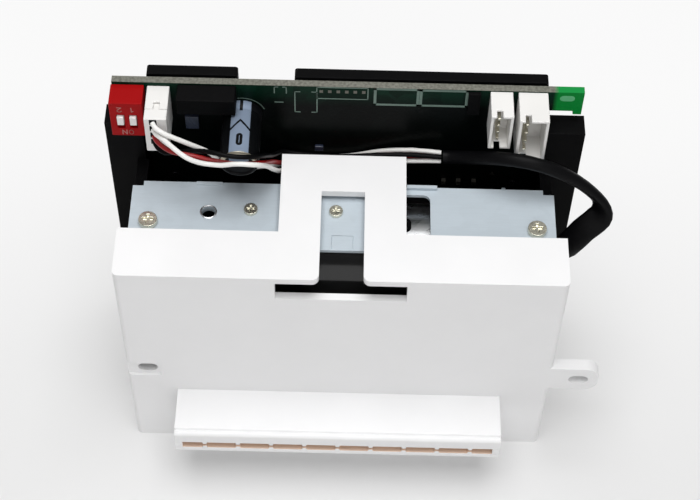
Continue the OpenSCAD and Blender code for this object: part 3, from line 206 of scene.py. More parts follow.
# Each wire's slot, the solid that it stands for, and its route from the plug to the sleeve
WIRES = {
    "upper_white_wire": ("wire_white", "white_wires", (
        (-37.9, 5.95, 77.7), (-37.2, 4.8, 77.5), (-35.5, 3.9, 77), (-32.6, 3.6, 75.5), (-29.4, 4, 73),
        (-26.6, 4.2, 70.8), (-24.6, 5.2, 66.4), (-21.4, 6.8, 63.4), (-18, 8.8, 61), (-14.5, 11.2, 58.8),
        (-11, 12.8, 57.7), (-5, 14.1, 57.8), (1, 14.3, 58.5), (4.5, 14.2, 59.6), (8, 14, 60.8),
        (14, 13.5, 61.9), (20, 12.8, 62.1))),
    "lower_white_wire": ("wire_white", "white_wires", (
        (-37.9, 5.95, 75.7), (-37.2, 4.7, 75.7), (-35.6, 3.3, 75.8), (-33.4, 1.2, 75.7), (-31, -0.5, 75.2),
        (-28.6, -0.4, 73.6), (-26.3, -0.25, 72.9), (-24, -0.8, 73.4), (-22, -1.1, 74.2), (-20, -1.4, 74.7),
        (-18, -1.2, 74.3), (-16.4, -0.4, 73.2), (-15.1, 2.4, 69.3), (-13.6, 8.3, 60.5), (-10.6, 10.4, 58.5),
        (-6, 11.3, 57.9), (0.5, 11.8, 58.4), (7, 11.9, 59.4), (13.5, 12, 60.2), (20, 11.6, 60.9))),
    "red_wire_skin": ("wire_red", "red_wire", (
        (-37.9, 5.95, 73.7), (-37.2, 4.7, 73.5), (-35.7, 3.3, 73.4), (-34, 2.2, 73.5), (-31.9, 1.3, 74),
        (-29.6, 0.9, 73.9), (-26.8, 0.9, 73), (-24, 0.5, 72.7), (-21.3, 0.4, 72.4), (-19, 0.4, 72.5),
        (-16.9, 1, 72.1), (-15.6, 3.8, 68.8), (-14.7, 7.4, 64.6), (-13.8, 9.5, 61.8), (-13, 11, 59.8),
        (-10, 12.3, 59), (-2, 12.9, 59.3), (7, 12.9, 60.2), (13.5, 13.05, 60.7), (20, 12.8, 60.9))),
    "black_wire_skin": ("wire_black", "black_wire", (
        (-37.9, 5.95, 71.7), (-37.2, 4.7, 71.5), (-35.7, 3.7, 71.3), (-33.4, 3.7, 71.6), (-31, 3.2, 72.6),
        (-28.5, 2.2, 74), (-26.5, 1, 75.2), (-24.5, 0.3, 75.5), (-22.2, -0.1, 75.4), (-19.6, 0.1, 75),
        (-17.5, 1, 74.1), (-15.8, 3.5, 71.4), (-14.8, 8.2, 65.6), (-14, 10.5, 63.3), (-12.6, 12.3, 61.9),
        (-9, 12.5, 61), (-1, 12.2, 60.8), (7, 12.2, 61.7), (14, 12, 62.2), (20, 11.6, 62.1))),
}

cord_pieces = []
for name, (slot, stood_for, route) in WIRES.items():
    line = smooth_route([Vector(point) for point in route], CORD_STEPS)
    half = WIRE_WIDTH / 2
    rings = swept_rings(line, [WIRE_LEAN] * len(line), [(half, half)] * len(line), WIRE_SIDES)
    wire = new_piece(name, *ring_skin(rings), slot)
    cord_pieces.append(lay_cord(wire, stood_for))

# %% The flat sleeve
# Half width and half thickness of the round and the flat stretch
SLEEVE_ROUND, SLEEVE_FLAT = Vector((1.5, 1.4)), Vector((2.8, 0.9))
SLEEVE_SIDES, SLEEVE_SQUARENESS = 24, 2.4
# The sleeve flattens between these two points of its route
SLEEVE_TURN = (5, 10)
SLEEVE_ROUTE = [Vector(point) for point in (
    (20.4, 12.2, 61.5), (22.6, 11.9, 61.9), (26.4, 9.9, 64.3), (31.2, 6.7, 68.3), (37, 4.9, 69.5),
    (42.4, 4.6, 67.6), (47, 4.6, 64.5), (50.4, 4.4, 61.4), (52.7, 3.9, 58.8), (53.4, 3.1, 56.7),
    (52.9, 2.4, 55.1), (51.5, 1.7, 53.7), (49.8, 1.1, 52), (48.1, 0.8, 48.9), (45.4, 1.6, 43.3),
    (41.7, 4.5, 40.9), (39.3, 6.9, 39.6), (37.6, 8.4, 38), (37.2, 9.1, 36.4), (37.2, 9.1, 35))]
SLEEVE_LEAN = [Vector(lean) for lean in (
    (0, -0.6, 0.8), (0, -0.6, 0.8), (0, -0.6, 0.8), (0, -0.6, 0.8), (0, -0.6, 0.8),
    (0, -0.6, 0.8), (0.1, -0.65, 0.7), (0.35, -0.7, 0.5), (0.55, -0.7, 0.25), (0.65, -0.6, 0),
    (0.7, -0.5, -0.25), (0.7, -0.5, -0.35), (0.75, -0.5, -0.4), (0.8, -0.45, -0.45), (0.75, -0.1, -0.65),
    (0.5, 0.3, -0.8), (0.7, 0.6, -0.4), (1, 0.2, -0.1), (1, 0.1, 0), (1, 0, 0))]


def sleeve_half(point):
    """Half width and half thickness at a point of the route, counted along it."""
    flat = (point - SLEEVE_TURN[0]) / (SLEEVE_TURN[1] - SLEEVE_TURN[0])
    return SLEEVE_ROUND.lerp(SLEEVE_FLAT, min(1, max(0, flat)))


line = smooth_route(SLEEVE_ROUTE, CORD_STEPS)
leans = smooth_route(SLEEVE_LEAN, CORD_STEPS)
halves = [sleeve_half(k / CORD_STEPS) for k in range(len(line))]
rings = swept_rings(line, leans, halves, SLEEVE_SIDES, SLEEVE_SQUARENESS)
sleeve = new_piece("sleeve_skin", *ring_skin(rings), "sleeve_black")
cord_pieces.append(lay_cord(sleeve, "lead_sleeve"))

# %% [markdown]
# ## Helpers for shader nodes
# The floor and every finish are trees of shader nodes. A few helpers keep them short: each adds one node
# and gives back the output that the next one needs, so that a tree reads like a sum.

# %% Helpers for shader nodes
def add(tree, kind, values=None, **settings):
    """Add a node. Each value is a constant, or another node's output that gets linked."""
    node = tree.nodes.new(kind)
    for setting, value in settings.items():
        setattr(node, setting, value)
    for socket, value in (values or {}).items():
        if isinstance(value, bpy.types.NodeSocket):
            tree.links.new(value, node.inputs[socket])
        else:
            node.inputs[socket].default_value = value
    return node


def maths(tree, operation, a, b=0.0, clamp=False):
    return add(tree, "ShaderNodeMath", {0: a, 1: b}, operation=operation, use_clamp=clamp).outputs[0]


def mixed(tree, factor, a, b, blend="MIX"):
    """Colour a mixed with colour b by a factor."""
    node = add(tree, "ShaderNodeMix", {0: factor, 6: a, 7: b}, data_type="RGBA", blend_type=blend)
    return node.outputs[2]


def remapped(tree, value, low, high, to_low, to_high):
    node = add(tree, "ShaderNodeMapRange", {"Value": value, "From Min": low, "From Max": high,
                                            "To Min": to_low, "To Max": to_high})
    return node.outputs[0]


def around_one(tree, swing, amount):
    """A tone that swings around one by an amount."""
    return add(tree, "ShaderNodeMath", {0: swing, 1: amount, 2: 1.0}, operation="MULTIPLY_ADD").outputs[0]


def distance(tree, a, b):
    """How far a point lies from the middle, from its distances along two axes."""
    squares = maths(tree, "ADD", maths(tree, "MULTIPLY", a, a), maths(tree, "MULTIPLY", b, b))
    return maths(tree, "SQRT", squares)


def between(tree, value, low, high):
    over = maths(tree, "GREATER_THAN", value, low)
    return maths(tree, "MULTIPLY", over, maths(tree, "LESS_THAN", value, high))


def all_of(tree, *masks):
    """A mask that holds only where all of the masks hold."""
    result = masks[0]
    for mask in masks[1:]:
        result = maths(tree, "MULTIPLY", result, mask)
    return result


def object_place(tree):
    return add(tree, "ShaderNodeTexCoord").outputs["Object"]


def axes_of(tree, vector):
    return add(tree, "ShaderNodeSeparateXYZ", {0: vector}).outputs


def faced_way(tree):
    return add(tree, "ShaderNodeNewGeometry").outputs["Normal"]


def blank_finish(name):
    finish = bpy.data.materials.new(name)
    finish.use_nodes = True
    return finish, finish.node_tree, finish.node_tree.nodes["Principled BSDF"]


# %% [markdown]
# ## Floor and light
# The part lies on a pale table under broad studio light, so shadows are soft and short. One large lamp
# hangs above and a little in front, which leaves a short shadow under the mouth. A weaker one fills the
# front, and another the back. Towards the back, the floor shows a lighter colour to the camera and in
# reflections than it gives to the part, so the background is near white without more light on the object.

# %% Floor
FLOOR_HALF = 3.0
FLOOR_GREY, FLOOR_ROUGHNESS = 0.77, 0.8
# The glow's full share, and where along Y it starts and is full
FLOOR_GLOW = 0.8
GLOW_FROM, GLOW_TO = -0.06, 0.09

sheet = bpy.data.meshes.new("table_top")
sheet.from_pydata([(-FLOOR_HALF, -FLOOR_HALF, 0), (FLOOR_HALF, -FLOOR_HALF, 0), (FLOOR_HALF, FLOOR_HALF, 0),
                   (-FLOOR_HALF, FLOOR_HALF, 0)], [], [(0, 1, 2, 3)])
floor = bpy.data.objects.new("table_top", sheet)
bpy.context.scene.collection.objects.link(floor)
floor_paint, tree, paper = blank_finish("table_paint")
paper.inputs["Base Color"].default_value = (FLOOR_GREY, FLOOR_GREY, FLOOR_GREY, 1)
paper.inputs["Roughness"].default_value = FLOOR_ROUGHNESS
rays = add(tree, "ShaderNodeLightPath").outputs
seen_through = maths(tree, "MAXIMUM", rays["Is Glossy Ray"], rays["Is Transmission Ray"])
seen = maths(tree, "MAXIMUM", rays["Is Camera Ray"], seen_through)
spot = add(tree, "ShaderNodeNewGeometry").outputs["Position"]
rise = add(tree, "ShaderNodeMapRange", {"Value": axes_of(tree, spot)["Y"], "From Min": GLOW_FROM,
                                        "From Max": GLOW_TO, "To Max": FLOOR_GLOW},
           interpolation_type="SMOOTHSTEP").outputs["Result"]
glow = add(tree, "ShaderNodeEmission").outputs[0]
blend = add(tree, "ShaderNodeMixShader", {0: all_of(tree, seen, rise), 1: paper.outputs[0], 2: glow})
tree.links.new(blend.outputs[0], tree.nodes["Material Output"].inputs["Surface"])
sheet.materials.append(floor_paint)
print("floor of", 2 * FLOOR_HALF, "m")

# %% Lamps and sky
MIDDLE = Vector((0, 0, 0.04))
# Each lamp's place and size in metres, and its power in watts
LAMPS = {"overhead": ((0.0, -0.06, 0.75), 0.5, 4.4),
         "front_fill": ((0.1, -0.75, 0.4), 0.6, 1.55),
         "back_fill": ((-0.3, 0.8, 0.3), 0.6, 1.2)}
SKY_COLOUR, SKY_STRENGTH = (1.0, 0.99, 0.985, 1), 0.25

for name, (place, size, power) in LAMPS.items():
    data = bpy.data.lights.new(name, "AREA")
    data.shape = "SQUARE"
    data.size = size
    data.energy = power
    lamp = bpy.data.objects.new(name, data)
    lamp.location = place
    lamp.rotation_euler = (MIDDLE - Vector(place)).to_track_quat("-Z", "Y").to_euler()
    bpy.context.scene.collection.objects.link(lamp)
sky = bpy.data.worlds.new("studio_sky")
sky.use_nodes = True
sky.node_tree.nodes["Background"].inputs["Color"].default_value = SKY_COLOUR
sky.node_tree.nodes["Background"].inputs["Strength"].default_value = SKY_STRENGTH
bpy.context.scene.world = sky
bpy.context.scene.view_settings.view_transform = "Standard"
print("lamps:", [lamp.name for lamp in bpy.data.lights])

# %% [markdown]
# ## Shader groups
# Moulded plastic, plated steel and soldered boards differ in colour, but share a few effects: a fine
# grain, slow clouds of tone, rubbed edges and settled dust. Each effect is one shader group with its own
# inputs, built once, so a change to the grain reaches every plastic. The groups give out masks and
# values only, and each material keeps its own shader.

# %% Maker of groups
FLOAT = "NodeSocketFloat"


def new_group(name, inputs, outputs):
    """An empty shader group with float inputs and outputs, and its two end nodes."""
    group = bpy.data.node_groups.new(name, "ShaderNodeTree")
    for label, value in inputs:
        group.interface.new_socket(label, in_out="INPUT", socket_type=FLOAT).default_value = value
    for label in outputs:
        group.interface.new_socket(label, in_out="OUTPUT", socket_type=FLOAT)
    return group, group.nodes.new("NodeGroupInput").outputs, group.nodes.new("NodeGroupOutput").inputs


# %% Grain of a moulded or coated surface
moulded_grain, given, result = new_group(
    "moulded_grain", [("Scale", 3000.0), ("Mottle", 0.05)], ["Height", "Tone", "Roughness Shift"])
place = object_place(moulded_grain)
fine = add(moulded_grain, "ShaderNodeTexNoise",
           {"Vector": place, "Scale": given["Scale"], "Detail": 4.0, "Roughness": 0.6}).outputs["Fac"]
cloud = add(moulded_grain, "ShaderNodeTexNoise",
            {"Vector": place, "Scale": 75.0, "Detail": 3.0, "Roughness": 0.55}).outputs["Fac"]
swing = remapped(moulded_grain, cloud, 0.3, 0.7, -1.0, 1.0)
moulded_grain.links.new(fine, result["Height"])
moulded_grain.links.new(around_one(moulded_grain, swing, given["Mottle"]), result["Tone"])
moulded_grain.links.new(remapped(moulded_grain, cloud, 0.3, 0.7, -0.05, 0.05), result["Roughness Shift"])

# %% Rubbed edges
rubbed_edge, given, result = new_group("rubbed_edge", [("Width", 0.0004), ("Amount", 0.5)], ["Mask"])
rounded = add(rubbed_edge, "ShaderNodeBevel", {"Radius": given["Width"]}, samples=6).outputs["Normal"]
faced = faced_way(rubbed_edge)
agreement = add(rubbed_edge, "ShaderNodeVectorMath", {0: rounded, 1: faced}, operation="DOT_PRODUCT")
edge = remapped(rubbed_edge, agreement.outputs["Value"], 0.985, 0.8, 0.0, 1.0)
place = object_place(rubbed_edge)
patches = add(rubbed_edge, "ShaderNodeTexNoise",
              {"Vector": place, "Scale": 420.0, "Detail": 3.0}).outputs["Fac"]
worn = maths(rubbed_edge, "MULTIPLY", edge, remapped(rubbed_edge, patches, 0.35, 0.65, 0.25, 1.0))
rubbed_edge.links.new(maths(rubbed_edge, "MULTIPLY", worn, given["Amount"], clamp=True), result["Mask"])

# %% Settled dust
settled_dust, given, result = new_group("settled_dust", [("Amount", 0.3)], ["Mask"])
tilt = axes_of(settled_dust, faced_way(settled_dust))["Z"]
upward = remapped(settled_dust, tilt, 0.3, 1, 0, 1)
place = object_place(settled_dust)
specks = add(settled_dust, "ShaderNodeTexNoise",
             {"Vector": place, "Scale": 900.0, "Detail": 5.0}).outputs["Fac"]
film = maths(settled_dust, "MULTIPLY", upward, remapped(settled_dust, specks, 0.5, 0.75, 0.1, 1.0))
settled_dust.links.new(maths(settled_dust, "MULTIPLY", film, given["Amount"], clamp=True), result["Mask"])

# %% Streaks of rolled and plated metal
rolled_streaks, given, result = new_group(
    "rolled_streaks", [("Stretch", 14.0), ("Contrast", 0.06)], ["Height", "Tone", "Roughness Shift"])
place = object_place(rolled_streaks)
across = add(rolled_streaks, "ShaderNodeCombineXYZ",
             {0: 1.0, 1: given["Stretch"], 2: given["Stretch"]}).outputs[0]
drawn = add(rolled_streaks, "ShaderNodeVectorMath", {0: place, 1: across}, operation="MULTIPLY").outputs[0]
lines = add(rolled_streaks, "ShaderNodeTexNoise",
            {"Vector": drawn, "Scale": 160.0, "Detail": 4.0}).outputs["Fac"]
spangle = add(rolled_streaks, "ShaderNodeTexVoronoi", {"Vector": place, "Scale": 420.0}).outputs["Color"]
grey = add(rolled_streaks, "ShaderNodeRGBToBW", {0: spangle}).outputs[0]
pattern = maths(rolled_streaks, "ADD", remapped(rolled_streaks, lines, 0.3, 0.7, -0.6, 0.6),
                remapped(rolled_streaks, grey, 0.2, 0.8, -0.4, 0.4))
rolled_streaks.links.new(lines, result["Height"])
rolled_streaks.links.new(around_one(rolled_streaks, pattern, given["Contrast"]), result["Tone"])
rolled_streaks.links.new(maths(rolled_streaks, "MULTIPLY", pattern, 0.06), result["Roughness Shift"])
print("shader groups:", [group.name for group in bpy.data.node_groups])

# %% [markdown]
# ## Finishes
# Two makers cover most of the part. Moulded plastic is a toned colour with a fine grain in its bump, a
# paler rub along its edges and a little dust. Metal takes streaks and spangle instead of grain. Anything
# that is the same all over, such as how metallic a metal is, is set on the shader itself.

# %% Makers of finishes
DUST_GREY = (0.5, 0.49, 0.47, 1)
BLACKENED = (0.016, 0.016, 0.018, 1)
COAT_ROUGHNESS = 0.08
METAL_RUB_WIDTH = 0.00025
BUMP_STRENGTH = 0.7


def connect(tree, shader, colour, roughness, height, depth):
    """Feed the shader's colour, roughness and a bump of the given depth in millimetres."""
    tree.links.new(colour, shader.inputs["Base Color"])
    tree.links.new(roughness, shader.inputs["Roughness"])
    bump = add(tree, "ShaderNodeBump", {"Strength": BUMP_STRENGTH, "Distance": depth * MM, "Height": height})
    tree.links.new(bump.outputs[0], shader.inputs["Normal"])


def moulded(name, colour, roughness, scale=3000.0, depth=0.02, mottle=0.04, rub=0.0, rub_colour=None,
            dust=0.0, shine=0.5, coat=0.0, shade_paint=None):
    """Moulded plastic. A shade_paint is a function that takes the tree and a colour and gives another colour
    with painted shade in it.
    """
    finish, tree, shader = blank_finish(name)
    shader.inputs["Specular IOR Level"].default_value = shine
    shader.inputs["Coat Weight"].default_value = coat
    shader.inputs["Coat Roughness"].default_value = COAT_ROUGHNESS
    grain = add(tree, "ShaderNodeGroup", {"Scale": scale, "Mottle": mottle}, node_tree=moulded_grain).outputs
    shown = mixed(tree, 1.0, (*colour, 1), grain["Tone"], "MULTIPLY")
    if rub:
        worn = add(tree, "ShaderNodeGroup", {"Amount": rub}, node_tree=rubbed_edge).outputs["Mask"]
        shown = mixed(tree, worn, shown, (*rub_colour, 1))
    if dust:
        film = add(tree, "ShaderNodeGroup", {"Amount": dust}, node_tree=settled_dust).outputs["Mask"]
        shown = mixed(tree, film, shown, DUST_GREY)
    if shade_paint:
        shown = shade_paint(tree, shown)
    rough = maths(tree, "ADD", grain["Roughness Shift"], roughness)
    connect(tree, shader, shown, rough, grain["Height"], depth)
    return finish


def metal(name, colour, roughness, stretch=14.0, contrast=0.06, depth=0.004, rub=0.0, rub_colour=None,
          metallic=1.0, black_behind=None):
    """Rolled or turned metal. What lies behind black_behind, in mm along Y, is blackened."""
    finish, tree, shader = blank_finish(name)
    shader.inputs["Metallic"].default_value = metallic
    streaks = add(tree, "ShaderNodeGroup", {"Stretch": stretch, "Contrast": contrast},
                  node_tree=rolled_streaks).outputs
    shown = mixed(tree, 1.0, (*colour, 1), streaks["Tone"], "MULTIPLY")
    if rub:
        worn = add(tree, "ShaderNodeGroup", {"Amount": rub, "Width": METAL_RUB_WIDTH},
                   node_tree=rubbed_edge).outputs["Mask"]
        shown = mixed(tree, worn, shown, (*rub_colour, 1))
    if black_behind is not None:
        back = axes_of(tree, object_place(tree))["Y"]
        shown = mixed(tree, maths(tree, "GREATER_THAN", back, black_behind * MM), shown, BLACKENED)
    rough = maths(tree, "ADD", streaks["Roughness Shift"], roughness)
    connect(tree, shader, shown, rough, streaks["Height"], depth)
    return finish


# %% Painted shade inside the note slot
SLOT_LOW, SLOT_HIGH, SLOT_REACH = 14.05, 16.25, 33.2
# Painted shade: a warm brown that stands for the dim, bounced light deep inside the slot
SLOT_SHADE_BROWN = (0.86, 0.67, 0.54, 1)
# A face whose normal points further to the front than this gets no painted shade
UNSHADED_FACING_Y = -0.5


def slot_painted_shade(tree, colour):
    """Warm brown painted shade inside the slot, standing for the dim bounced light deep in it. The ribs'
    ends, which face the front, are left white.
    """
    axes = axes_of(tree, object_place(tree))
    inward = maths(tree, "GREATER_THAN", axes_of(tree, faced_way(tree))["Y"], UNSHADED_FACING_Y)
    inside = all_of(tree, between(tree, axes["Z"], SLOT_LOW * MM, SLOT_HIGH * MM),
                    between(tree, axes["X"], -SLOT_REACH * MM, SLOT_REACH * MM), inward)
    return mixed(tree, inside, colour, SLOT_SHADE_BROWN)


# %% Finishes of the plastics, by the record's slots
COVER_WHITE = (0.86, 0.86, 0.865)
INK = (0.03, 0.03, 0.032)
finishes = {
    # The mouth's finish adds the slot's painted shade
    "mouth_white": moulded("mouth_white", COVER_WHITE, 0.45, scale=2600, depth=0.012, mottle=0.012,
                           shade_paint=slot_painted_shade),
    "white_plastic": moulded("white_plastic", COVER_WHITE, 0.45, scale=2600, depth=0.012, mottle=0.012),
    "black_plastic": moulded("black_plastic", (0.0022, 0.0022, 0.0025), 0.55, depth=0.03, rub=0.3,
                             rub_colour=INK, dust=0.002, shine=0.05),
    "gloss_black": moulded("gloss_black", (0.003, 0.003, 0.0033), 0.16, depth=0.004, dust=0.004, coat=0.3,
                           shine=0.2),
    "switch_red": moulded("switch_red", (0.33, 0.003, 0.004), 0.42, depth=0.015, rub=0.3,
                          rub_colour=(0.42, 0.02, 0.02), shine=0.08),
    "lever_white": moulded("lever_white", (0.82, 0.81, 0.79), 0.35, depth=0.01),
    "connector_white": moulded("connector_white", (0.8, 0.79, 0.77), 0.4, depth=0.012, mottle=0.025),
    "gear_plastic": moulded("gear_plastic", (0.76, 0.73, 0.65), 0.45, depth=0.01, mottle=0.03),
    "tyre_rubber": moulded("tyre_rubber", (0.02, 0.02, 0.021), 0.75, scale=4500, depth=0.05, dust=0.05,
                           shine=0.3),
    "clear_plastic": moulded("clear_plastic", (0.72, 0.77, 0.8), 0.12, depth=0.003, mottle=0.02, coat=0.3),
    "wire_white": moulded("wire_white", (0.84, 0.835, 0.81), 0.4, depth=0.008, mottle=0.03),
    "wire_red": moulded("wire_red", (0.29, 0.004, 0.005), 0.4, depth=0.008, mottle=0.05),
    "wire_black": moulded("wire_black", (0.002, 0.002, 0.0023), 0.42, depth=0.008, shine=0.08),
    "sleeve_black": moulded("sleeve_black", (0.0025, 0.0025, 0.003), 0.45, scale=1800, depth=0.03,
                            shine=0.1),
}
print(len(finishes), "plastics")

# %% Finishes of the metals
finishes.update({
    "zinc_steel": metal("zinc_steel", (0.5, 0.565, 0.615), 0.58, contrast=0.04, rub=0.4,
                        rub_colour=(0.7, 0.74, 0.77), metallic=0.12),
    "screw_steel": metal("screw_steel", (0.74, 0.72, 0.6), 0.26, stretch=4.0, contrast=0.15, metallic=0.94,
                         black_behind=8),
    "can_steel": metal("can_steel", (0.58, 0.59, 0.6), 0.3, stretch=20.0, contrast=0.05),
    "shaft_steel": metal("shaft_steel", (0.68, 0.68, 0.68), 0.2, stretch=0.1, contrast=0.05),
    "brass": metal("brass", (0.72, 0.53, 0.26), 0.28, stretch=6.0, contrast=0.07),
    "pin_metal": metal("pin_metal", (0.74, 0.71, 0.6), 0.3, contrast=0.1),
})
print(len(finishes), "plastics and metals")

# %% [markdown]
# ## Circuit board
# Solder mask is a thin green lacquer over copper and glass cloth. Lower down, the face is painted nearly
# black as painted shade, fading to dark green at the top edge; on the bare ear a bright green is painted
# as painted glow, for light that shines through the glass from behind. The milled edges show the cloth
# itself, grey-brown and rough, painted bright green on the ear too. One material tells these places apart
# by the way a face looks and by its place on the board.

# %% Board finish
EAR_FROM, EAR_TO = 41.6, 42.6
# Painted shade: below this height the face fades to near black
PAINTED_SHADE_TOP = 79.0
PAINTED_SHADE_FADE = 5.5
LACQUER_PAINTED_SHADE, LACQUER_HIGH = (0.0012, 0.002, 0.0017, 1), (0.003, 0.022, 0.012, 1)
# Painted glow: on the ear the lacquer and the cloth are painted bright green, for light shining through from
# behind
LACQUER_PAINTED_GLOW = (0.004, 0.21, 0.034, 1)
CLOTH_DARK, CLOTH_PALE, CLOTH_PAINTED_GLOW = (0.13, 0.13, 0.11, 1), (0.22, 0.22, 0.19, 1), (0.012, 0.26, 0.055, 1)
FACE_ROUGHNESS, EDGE_ROUGHNESS = (0.3, 0.3, 0.3, 1), (0.85, 0.85, 0.85, 1)
BOARD_SHINE, BOARD_BUMP = 0.05, 0.06
board_finish, tree, shader = blank_finish("board_green")
place = object_place(tree)
axes = axes_of(tree, place)
flatness = maths(tree, "ABSOLUTE", axes_of(tree, faced_way(tree))["Y"])
edge_mask = remapped(tree, flatness, 0.7, 0.5, 0, 1)
glow_ear_mask = remapped(tree, axes["X"], EAR_FROM * MM, EAR_TO * MM, 0, 1)
shade_fade = remapped(tree, axes["Z"], (PAINTED_SHADE_TOP - PAINTED_SHADE_FADE) * MM, PAINTED_SHADE_TOP * MM, 0, 1)
cells = add(tree, "ShaderNodeTexVoronoi", {"Vector": place, "Scale": 260.0},
            distance="CHEBYCHEV").outputs["Color"]
pour = remapped(tree, add(tree, "ShaderNodeRGBToBW", {0: cells}).outputs[0], 0.3, 0.7, 0.75, 1.25)
lacquer = mixed(tree, shade_fade, LACQUER_PAINTED_SHADE, LACQUER_HIGH)
lacquer = mixed(tree, 1.0, lacquer, pour, "MULTIPLY")
lacquer = mixed(tree, glow_ear_mask, lacquer, LACQUER_PAINTED_GLOW)
cloth = add(tree, "ShaderNodeTexNoise", {"Vector": place, "Scale": 1900.0, "Detail": 4.0}).outputs["Fac"]
glass = mixed(tree, remapped(tree, cloth, 0.35, 0.65, 0, 1), CLOTH_DARK, CLOTH_PALE)
glass = mixed(tree, glow_ear_mask, glass, CLOTH_PAINTED_GLOW)
grain = add(tree, "ShaderNodeGroup", {"Scale": 1500.0, "Mottle": 0.05}, node_tree=moulded_grain).outputs
shown = mixed(tree, edge_mask, mixed(tree, 1.0, lacquer, grain["Tone"], "MULTIPLY"), glass)
rough = mixed(tree, edge_mask, FACE_ROUGHNESS, EDGE_ROUGHNESS)
shader.inputs["Specular IOR Level"].default_value = BOARD_SHINE
connect(tree, shader, shown, rough, mixed(tree, edge_mask, grain["Height"], cloth), BOARD_BUMP)
finishes["board_green"] = board_finish
print("board's ear starts at x", EAR_FROM, "mm")

# %% Inks and small parts of the board
# One pale ink in two copies: painted dim on the board's face as painted shade, and bright green on the ear
# as painted glow
finishes["legend_ink_painted_shade"] = moulded("legend_ink_painted_shade", (0.12, 0.18, 0.15), 0.5, scale=2000, depth=0.01, mottle=0.3)
finishes["ear_ink_painted_glow"] = moulded("ear_ink_painted_glow", (0.09, 0.42, 0.18), 0.5, scale=2000, depth=0.01, mottle=0.15)
finishes["film_blue"] = moulded("film_blue", (0.022, 0.028, 0.048), 0.25, depth=0.01, mottle=0.5)
finishes["dull_tin"] = metal("dull_tin", (0.15, 0.145, 0.125), 0.45, stretch=3.0, contrast=0.2)
finishes["switch_ink"] = moulded("switch_ink", (0.42, 0.2, 0.18), 0.5, scale=2000, depth=0.01, mottle=0.2)

# %% [markdown]
# ## Capacitor
# An electrolytic capacitor is an aluminium cup in a shrunk plastic sleeve. The sleeve is black, with a
# pale band down the negative side. Its cut end is slanted, so bare metal shows at the top of the rim. The
# body is turned from a profile. The band is drawn by the finish itself, from the distance to the body's
# axis and the place along it, because printed marks have no thickness worth modelling.

# %% Capacitor body
CAP_X, CAP_Z = -20.9, 70.6
BOARD_FACE = 15.0
# Distance in front of the board and radius, from the board to the front
CAP_PROFILE = ((0, 4), (1.3, 4), (1.6, 3.8), (1.9, 3.7), (2.2, 3.8), (2.5, 4), (12.4, 4), (12.75, 3.97),
               (13.05, 3.85), (13.25, 3.65), (13.4, 3.35), (13.35, 3.1), (13.1, 2.95), (13.05, 0.05))
CAP_SIDES = 64
CAP_CREASE = 50

cap_angles = [math.tau * i / CAP_SIDES for i in range(CAP_SIDES)]
cap_rings = [[Vector((CAP_X + radius * math.cos(a), BOARD_FACE - ahead, CAP_Z + radius * math.sin(a)))
              for a in cap_angles] for ahead, radius in CAP_PROFILE]
capacitor = new_piece("capacitor_body", *ring_skin(cap_rings), "capacitor_sleeve")
shade_smooth(capacitor, CAP_CREASE)
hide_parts("capacitor")
print("capacitor has", len(capacitor.data.polygons), "faces")

# %% Capacitor finish
# Places along Y and sizes, in mm, of the band, its arrow and minus sign, the notch and the rim
BAND_HALF = 1.95
CHEVRON_AT, CHEVRON_SLOPE, CHEVRON_HALF = 9.9, 1.1, 0.32
MINUS_AT, MINUS_HALF, MINUS_R, MINUS_CORE = 5.0, 0.9, 0.64, 0.06
NOTCH_FROM, NOTCH_HALF = 12.4, 0.32
RIM_FROM, RIM_R, RIM_ABOVE = 2.0, 3.0, 0.5
CAP_BLACK, BAND_BLUE, RIM_TIN = (0.003, 0.0033, 0.004, 1), (0.215, 0.27, 0.36, 1), (0.5, 0.47, 0.38, 1)
CAP_ROUGHNESS, CAP_SHINE, CAP_BUMP, RIM_METAL = 0.4, 0.12, 0.005, 0.9
cap_finish, tree, shader = blank_finish("capacitor_sleeve")
axes = axes_of(tree, object_place(tree))
in_mm = [maths(tree, "MULTIPLY", axes[axis], 1 / MM) for axis in "XYZ"]
aside = maths(tree, "ABSOLUTE", maths(tree, "SUBTRACT", in_mm[0], CAP_X))
back = in_mm[1]
above = maths(tree, "SUBTRACT", in_mm[2], CAP_Z)
band = all_of(tree, maths(tree, "LESS_THAN", aside, BAND_HALF), maths(tree, "GREATER_THAN", above, 0.0))
slanted = maths(tree, "ADD", back, maths(tree, "MULTIPLY", aside, CHEVRON_SLOPE))
chevron = between(tree, slanted, CHEVRON_AT - CHEVRON_HALF, CHEVRON_AT + CHEVRON_HALF)
along = maths(tree, "ABSOLUTE", maths(tree, "SUBTRACT", back, MINUS_AT))
beyond = maths(tree, "SUBTRACT", along, MINUS_HALF)
from_minus = distance(tree, aside, maths(tree, "MAXIMUM", beyond, 0.0))
minus_ring = between(tree, from_minus, MINUS_CORE, MINUS_R)
notch = all_of(tree, maths(tree, "GREATER_THAN", back, NOTCH_FROM),
               maths(tree, "LESS_THAN", aside, NOTCH_HALF))
marks = maths(tree, "MAXIMUM", maths(tree, "MAXIMUM", chevron, minus_ring), notch)
pale = all_of(tree, band, maths(tree, "SUBTRACT", 1.0, marks))
rim = all_of(tree, maths(tree, "LESS_THAN", back, RIM_FROM),
             maths(tree, "GREATER_THAN", distance(tree, aside, above), RIM_R),
             maths(tree, "GREATER_THAN", above, RIM_ABOVE))
grain = add(tree, "ShaderNodeGroup", {"Scale": 2400.0, "Mottle": 0.1}, node_tree=moulded_grain).outputs
shown = mixed(tree, rim, mixed(tree, pale, CAP_BLACK, BAND_BLUE), RIM_TIN)
shown = mixed(tree, 1.0, shown, grain["Tone"], "MULTIPLY")
rough = maths(tree, "ADD", grain["Roughness Shift"], CAP_ROUGHNESS)
shader.inputs["Specular IOR Level"].default_value = CAP_SHINE
tree.links.new(maths(tree, "MULTIPLY", rim, RIM_METAL), shader.inputs["Metallic"])
